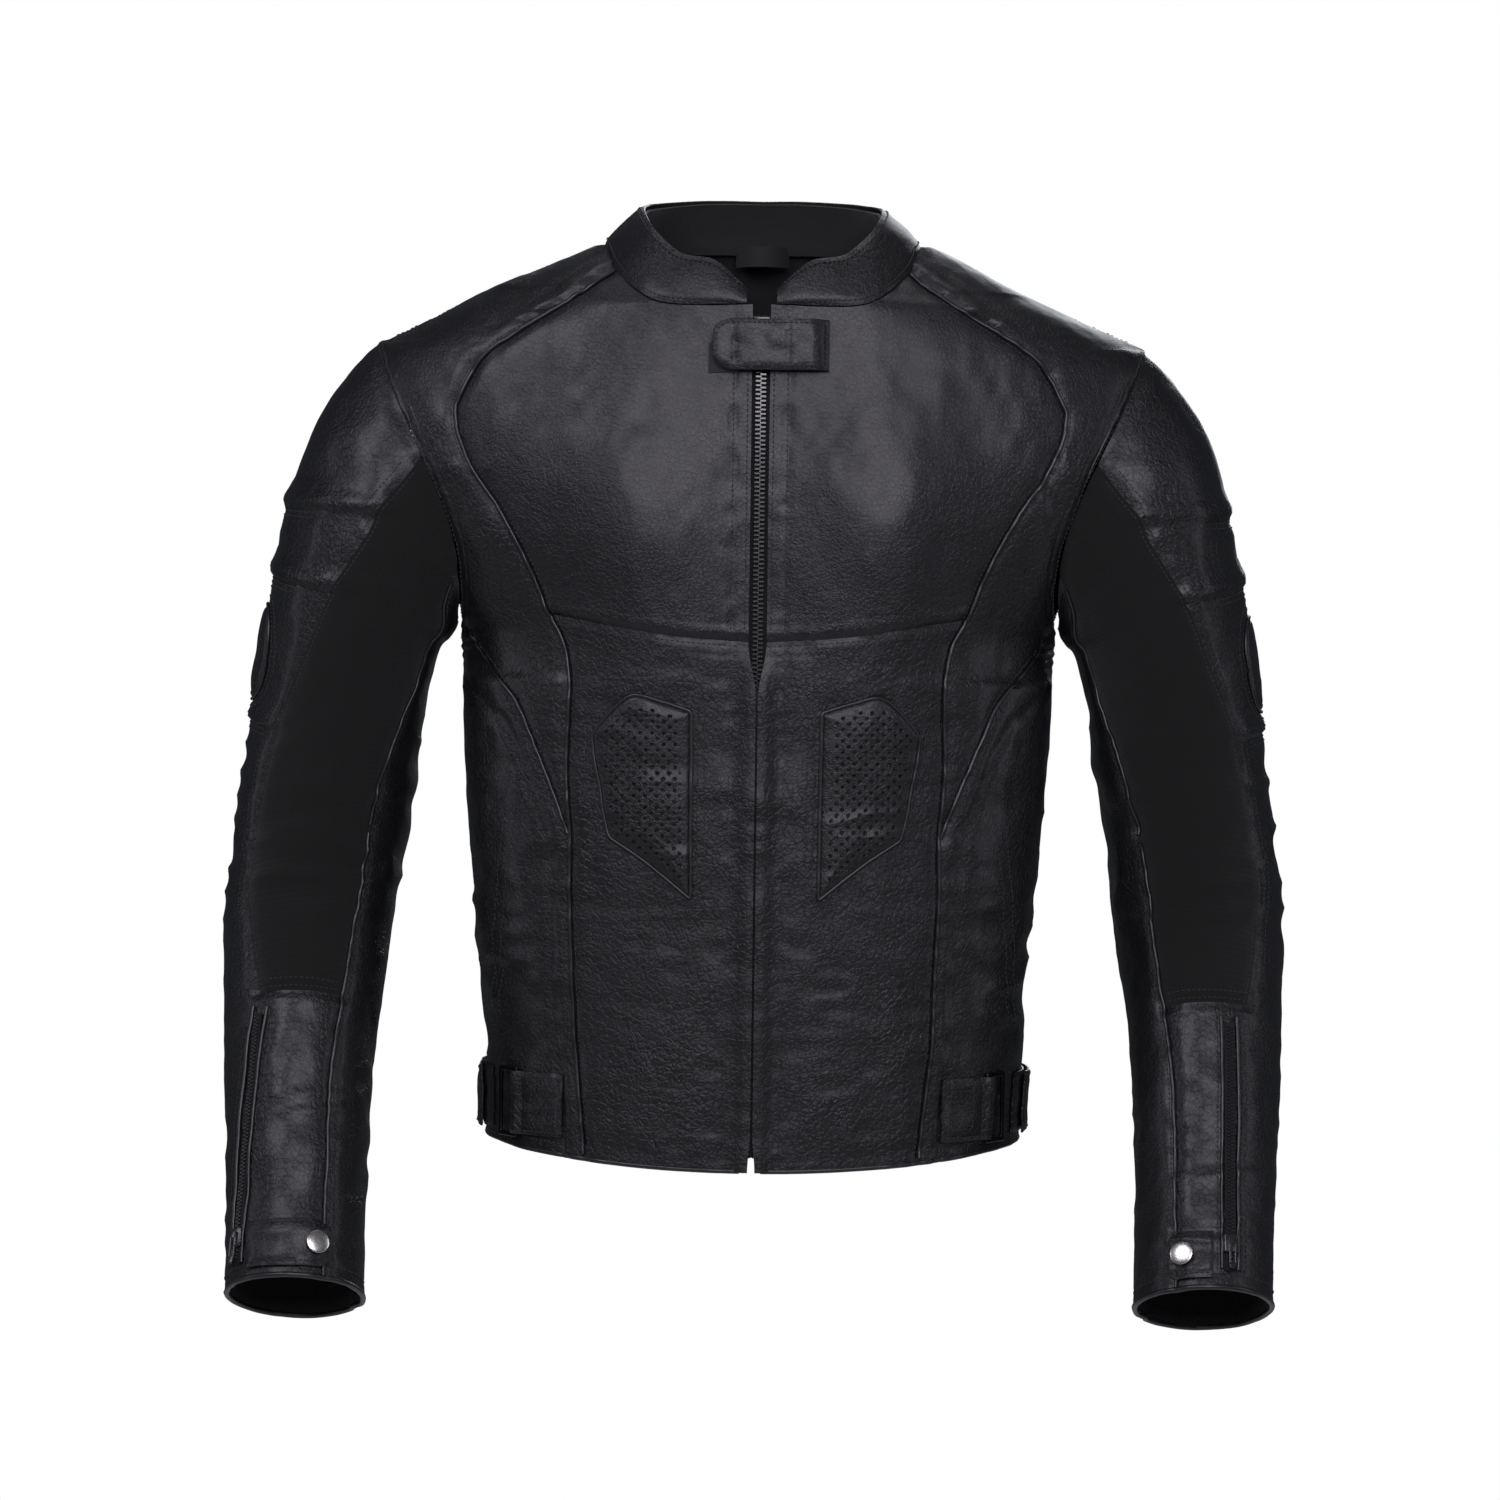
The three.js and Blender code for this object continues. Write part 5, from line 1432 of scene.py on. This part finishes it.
def ring_plate(wide, high, bar, thick, bevel):
    """A rectangular ring: inset a plane, delete its middle, give it thickness and round the edges."""
    thing = begin("plane", size=1)
    thing.scale = (wide * MM, high * MM, 1)
    bpy.ops.object.transform_apply(location=False, rotation=False, scale=True)
    bpy.ops.object.mode_set(mode="EDIT")
    bpy.ops.mesh.select_all(action="SELECT")
    bpy.ops.mesh.inset(thickness=bar * MM, depth=0)
    bpy.ops.mesh.delete(type="FACE")
    bpy.ops.mesh.select_all(action="SELECT")
    bpy.ops.mesh.extrude_region_move(TRANSFORM_OT_translate={"value": (0, 0, thick * MM)})
    bpy.ops.mesh.select_all(action="SELECT")
    bpy.ops.mesh.normals_make_consistent(inside=False)
    bpy.ops.transform.translate(value=(0, 0, -thick * MM / 2))
    bpy.ops.object.mode_set(mode="OBJECT")
    bevelled(thing, bevel, 4)
    return thing


def hard(name, thing, body):
    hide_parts(name)
    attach(thing, body)


def teeth(count, pitch, reach, size, offset=0.0):
    """Two rows of interlocking teeth along Y; points and faces in millimetres."""
    wide, long, thick = size
    shape = []
    for x, y, z in ((-1, -1, -1), (1, -1, -1), (1, 1, -1), (-1, 1, -1), (-1, -0.7, 1), (1, -0.7, 1), (1, 0.7, 1), (-1, 0.7, 1)):
        shape.append((x * wide / 2 * (0.86 if z > 0 else 1), y * long / 2, z * thick / 2))
    shape = np.array(shape)
    faces = np.array([(3, 2, 1, 0), (4, 5, 6, 7), (0, 1, 5, 4), (1, 2, 6, 5), (2, 3, 7, 6), (3, 0, 4, 7)])
    index = np.arange(count)
    centres = []
    for row, sign in enumerate((1, -1)):
        y = (index - count / 2) * pitch + row * pitch / 2 + offset
        centres.append(np.stack([np.full(count, sign * reach), y, 0 * y], -1))
    return [(
        (row[:, None] + shape[None]).reshape(-1, 3),
        (faces[None] + (index * 8)[:, None, None]).reshape(-1, 4),
    ) for row in centres]


def tape(lo_x, hi_x, half, thick, count=120):
    columns = np.linspace(lo_x, hi_x, 7)
    rows = np.linspace(-half, half, count)
    x, y = np.meshgrid(columns, rows)
    z = 0.08 * np.sin(y * 2.1) + 0 * x
    grid = np.stack([x, y, z + thick / 2], -1)
    facing = np.broadcast_to(np.array([0, 0, 1.0]), grid.shape)
    return closed(grid, facing, None, thick)


def moved(points, matrix):
    turn = np.array(matrix.to_3x3())
    return points @ turn.T + np.array(matrix.translation) / MM


def zip_half(name, matrix, tooth_set, lo_x, hi_x, half, body, tape_drop):
    points, faces, slots, used = tape(lo_x, hi_x, half, 0.9)
    tooth_points, tooth_faces = tooth_set
    every = np.concatenate([points - [0, 0, tape_drop], tooth_points])
    faces = np.concatenate([faces, tooth_faces + len(points)])
    slots = np.concatenate([np.zeros(len(slots)), np.ones(len(tooth_faces))])
    thing = mesh_object(name, moved(every, matrix), faces, [tape_cloth, black_zip], slots, uv=np.zeros((len(every), 2)), smooth=30)
    return thing


tape_cloth = material("zip_tape", knit_build((0.004, 0.004, 0.0045), (0.010, 0.010, 0.011), 1500.0))
front = dict(x=(1, 0, 0), y=(0, 0.0533, 0.9986), z=(0, -0.9986, 0.0533))
matrix = frame_matrix(**front, p=(0, -144.53, -319.5))
rows = teeth(190, 2.85, 1.5, (4.2, 1.6, 3.2))
for row, (tag, lo_x, hi_x) in enumerate((("l", 0.7, 11.6), ("r", -11.6, -0.7))):
    thing = zip_half(f"zip_tape_{tag}", matrix, rows[row], lo_x, hi_x, 272, "torso", 0.6)
    hard(f"zip_tape_{tag}", thing, "torso")
matrix = frame_matrix(**front, p=(0, -130.44, -55.5))


def slider_parts(wide, long, low, plate, high, bridge):
    """Two plates, a wedge between them and a bridge for the pull."""
    parts = [cube((-wide, -long, high - plate), (wide, long * 0.86, high), 0.5)]
    parts.append(cube((-wide, -long, low), (wide, long * 0.86, low + plate), 0.4))
    parts.append(cube((-wide, -long * 0.9, high - plate - 0.7), (-wide + 0.9, long * 0.5, high - 0.3), 0.2))
    parts.append(cube((wide - 0.9, -long * 0.9, high - plate - 0.7), (wide, long * 0.5, high - 0.3), 0.2))
    parts.append(cube((-0.4, long * 0.25, low + 0.2), (0.4, long * 0.8, high - 0.2), 0.1))
    parts.append(cube((-1.4, -long * 0.5, high - 0.3), (1.4, -long * 0.3, high + bridge), 0.4))
    parts.append(cube((-1.4, long * 0.42, high - 0.3), (1.4, long * 0.62, high + bridge), 0.4))
    parts.append(cube((-1.4, -long * 0.5, high + bridge - 0.7), (1.4, long * 0.62, high + bridge), 0.35))
    return parts


hard("zip_slider", joined_pieces("zip_slider", slider_parts(5.4, 7.4, -3.4, 1.4, 3.1, 1.3), matrix, black_zip), "zip_slider")
parts = plate_with_hole((-3.4, -26, 3.9), (3.4, 4, 5.4), 1.7, -20, -1.5)
hard("zip_pull", joined_pieces("zip_pull", parts, matrix, black_zip), "zip_pull")

CUFF_FRAMES = {
    "l": (dict(x=(0.9704, 0.2145, -0.111), y=(0.0216, 0.3807, 0.9244), z=(0.2405, -0.8995, 0.3648)),
          (306.82, -170.52, -577.36), (305.43, -195.02, -636.87)),
    "r": (dict(x=(0.7825, -0.5995, 0.1681), y=(0.0426, 0.3209, 0.9462), z=(-0.6212, -0.7332, 0.2766)),
          (-323.87, -162.03, -581.53), (-326.64, -182.87, -642.99)),
}
for tag, side in SIDES:
    axes, middle, rest = CUFF_FRAMES[tag]
    matrix = frame_matrix(**axes, p=middle)
    rows = teeth(66, 2.45, 0.95, (2.4, 1.3, 1.7))
    points, faces, slots, used = tape(-3.4, 3.4, 82, 0.8)
    every = np.concatenate([points + [0, 0, 0.5], rows[0][0] + [0, 0, 1.1], rows[1][0] + [0, 0, 1.1]])
    first = len(points)
    faces = np.concatenate([faces, rows[0][1] + first, rows[1][1] + first + len(rows[0][0])])
    slots = np.concatenate([np.zeros(len(slots)), np.ones(2 * len(rows[0][1]))])
    thing = mesh_object(f"cuff_zip_{tag}", moved(every, matrix), faces, [tape_cloth, black_zip], slots, uv=np.zeros((len(every), 2)), smooth=30)
    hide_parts(f"cuff_zip_{tag}")
    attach(thing, f"forearm_{tag}")
    matrix = frame_matrix(**axes, p=rest)
    parts = [
        cube((-4.9, -6, 2.4), (4.9, 5.4, 3.7), 0.5), cube((-5, -6, 0.7), (-4, 5.4, 3.2), 0.3),
        cube((4, -6, 0.7), (5, 5.4, 3.2), 0.3), cube((-1.1, -3, 3.4), (1.1, 3.4, 4.1), 0.3),
    ]
    hard(f"cuff_slider_{tag}", joined_pieces(f"cuff_slider_{tag}", parts, matrix, black_zip), f"cuff_slider_{tag}")
    parts = plate_with_hole((-2.4, -17, 4.2), (2.4, 3, 5.5), 1.2, -13, -1.0, 0.3)
    hard(f"cuff_pull_{tag}", joined_pieces(f"cuff_pull_{tag}", parts, matrix, black_zip), f"cuff_pull_{tag}")

    ring_axes = dict(x=(0.629 * side, 0.7774, 0), y=(0, 0, 1), z=(0.7774 * side, -0.629, 0))
    matrix = frame_matrix(**ring_axes, p=(159.25 * side, -110.59, -561.5))
    ring = ring_plate(20, 46, 3.2, 2.4, 0.9)
    if side < 0:
        bpy.ops.object.mode_set(mode="EDIT")
        bpy.ops.mesh.select_all(action="SELECT")
        bpy.ops.object.mode_set(mode="OBJECT")
    hard(f"waist_ring_{tag}", joined_pieces(f"waist_ring_{tag}", [ring], matrix, gunmetal), f"waist_ring_{tag}")

    low, high = on_sleeve(112, 10.7, -4.5) * [side, 1, 1], on_sleeve(292, 10.7) * [side, 1, 1]
    tangent = unit((on_sleeve(113, 10.7) - on_sleeve(111, 10.7)) * [side, 1, 1])
    facing = low - high
    facing = unit(facing - tangent * (facing @ tangent))
    matrix = frame_matrix(tangent, np.cross(facing, tangent), facing, low)
    cap = begin("cylinder", vertices=48, radius=7.5 * MM, depth=1.6 * MM, location=(0, 0, 0.8 * MM))
    bpy.ops.object.transform_apply(location=True)
    bpy.ops.object.mode_set(mode="EDIT")
    bpy.ops.mesh.select_all(action="DESELECT")
    bpy.ops.object.mode_set(mode="OBJECT")
    top_face = max(cap.data.polygons, key=lambda face: face.center.z)
    top_face.select = True
    bpy.ops.object.mode_set(mode="EDIT")
    bpy.ops.mesh.inset(thickness=1.6 * MM, depth=0.35 * MM)
    bpy.ops.mesh.inset(thickness=2.2 * MM, depth=0.25 * MM)
    bpy.ops.mesh.inset(thickness=2.0 * MM, depth=0.1 * MM)
    bpy.ops.object.mode_set(mode="OBJECT")
    bevelled(cap, 0.25, 3)
    snap = joined_pieces(f"snap_cap_{tag}", [cap], matrix, nickel)
    hard(f"snap_cap_{tag}", snap, f"cuff_tab_{tag}")
print("hard pieces done")

# %% Trim objects
for (key, finish_name), (finish, point_sets, face_sets, count) in trims.items():
    faces = [tuple(dict.fromkeys(face)) for face in np.concatenate(face_sets).tolist()]
    thing = mesh_object(f"{finish_name}_{key}", np.concatenate(point_sets), faces, [finish], uv=np.zeros((count, 2)), shade=np.zeros(count), smooth=60)
    side = -1 if key.endswith("_r") else 1
    if key == "torso":
        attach(thing, "torso")
    elif key.startswith("upper"):
        arm_blend(thing, side)
    elif key.startswith("fore"):
        elbow_blend(thing, side)
    else:
        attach(thing, key)
# %% [markdown]
# ## Camera, light and floor
# A long lens from straight ahead keeps the jacket flat, as in a catalogue. The light is a large
# soft box above, two at the sides for long soft highlights, and a pale world.

# %% Camera, light and floor
def look_at(thing, place, aim, roll=0.0):
    turn = (Vector(aim) - Vector(place)).to_track_quat("-Z", "Y").to_matrix().to_4x4()
    thing.matrix_world = Matrix.Translation(place) @ turn @ Matrix.Rotation(roll, 4, "Z")


def area_light(name, place, aim, size, power, color=(1, 1, 1)):
    light = bpy.data.lights.new(name, "AREA")
    light.shape, light.size, light.size_y = "RECTANGLE", size[0], size[1]
    light.energy, light.color = power, color
    thing = bpy.data.objects.new(name, light)
    bpy.context.scene.collection.objects.link(thing)
    look_at(thing, place, aim)
    return thing


camera = bpy.data.objects.new("camera", bpy.data.cameras.new("camera"))
camera.data.lens, camera.data.sensor_width = 103.7, 36
camera.data.clip_end = 30
bpy.context.scene.collection.objects.link(camera)
look_at(camera, (0.0, -2.93, -0.231), (-0.004, -0.13, -0.329), math.radians(0.75))
bpy.context.scene.camera = camera
bpy.context.scene.view_settings.view_transform = "Standard"
area_light("key", (-1.3, -1.9, 1.2), (0, -0.1, -0.3), (0.9, 0.9), 18, (0.93, 0.9, 1.0))
area_light("front", (0.35, -2.7, 0.75), (0, -0.1, -0.3), (1.5, 1.0), 32, (0.94, 0.9, 1.0))
area_light("side_left", (-2.1, -0.5, -0.1), (0, -0.1, -0.35), (0.45, 1.6), 4, (0.9, 0.9, 1.0))
area_light("side_right", (2.1, -0.7, 0.1), (0, -0.1, -0.35), (0.45, 1.6), 5, (0.9, 0.9, 1.0))
area_light("top", (0.1, 0.2, 1.9), (0, 0, -0.2), (1.2, 0.6), 8, (0.95, 0.92, 1.0))
area_light("back", (0.4, 2.4, 0.6), (0, 0, -0.3), (1.4, 1.4), 22, (0.92, 0.95, 1.0))

world = bpy.data.worlds.new("studio")
world.use_nodes = True
bpy.context.scene.world = world
tree = world.node_tree
tree.nodes.clear()
seen = tree.nodes.new("ShaderNodeLightPath")
light_part = tree.nodes.new("ShaderNodeBackground")
light_part.inputs["Color"].default_value = (0.75, 0.8, 0.9, 1)
light_part.inputs["Strength"].default_value = 0.07
seen_part = tree.nodes.new("ShaderNodeBackground")
seen_part.inputs["Color"].default_value = (1, 1, 1, 1)
seen_part.inputs["Strength"].default_value = 1.0
mixed = tree.nodes.new("ShaderNodeMixShader")
output = tree.nodes.new("ShaderNodeOutputWorld")
tree.links.new(seen.outputs["Is Camera Ray"], mixed.inputs[0])
tree.links.new(light_part.outputs[0], mixed.inputs[1])
tree.links.new(seen_part.outputs[0], mixed.inputs[2])
tree.links.new(mixed.outputs[0], output.inputs[0])

bpy.ops.mesh.primitive_circle_add(vertices=96, radius=3, fill_type="NGON", location=(0, 0, -1.6))
floor = bpy.context.object
floor.name = "floor"
floor_finish = bpy.data.materials.new("floor")
floor_finish.use_nodes = True
floor_finish.node_tree.nodes["Principled BSDF"].inputs["Base Color"].default_value = (0.8, 0.8, 0.8, 1)
floor_finish.node_tree.nodes["Principled BSDF"].inputs["Roughness"].default_value = 0.9
tree = floor_finish.node_tree
glow = tree.nodes.new("ShaderNodeEmission")
glow.inputs["Color"].default_value = (0.93, 0.93, 0.94, 1)
seen = tree.nodes.new("ShaderNodeLightPath")
mixed = tree.nodes.new("ShaderNodeMixShader")
tree.links.new(seen.outputs["Is Camera Ray"], mixed.inputs[0])
tree.links.new(tree.nodes["Principled BSDF"].outputs[0], mixed.inputs[1])
tree.links.new(glow.outputs[0], mixed.inputs[2])
tree.links.new(mixed.outputs[0], tree.nodes["Material Output"].inputs[0])
floor.data.materials.append(floor_finish)
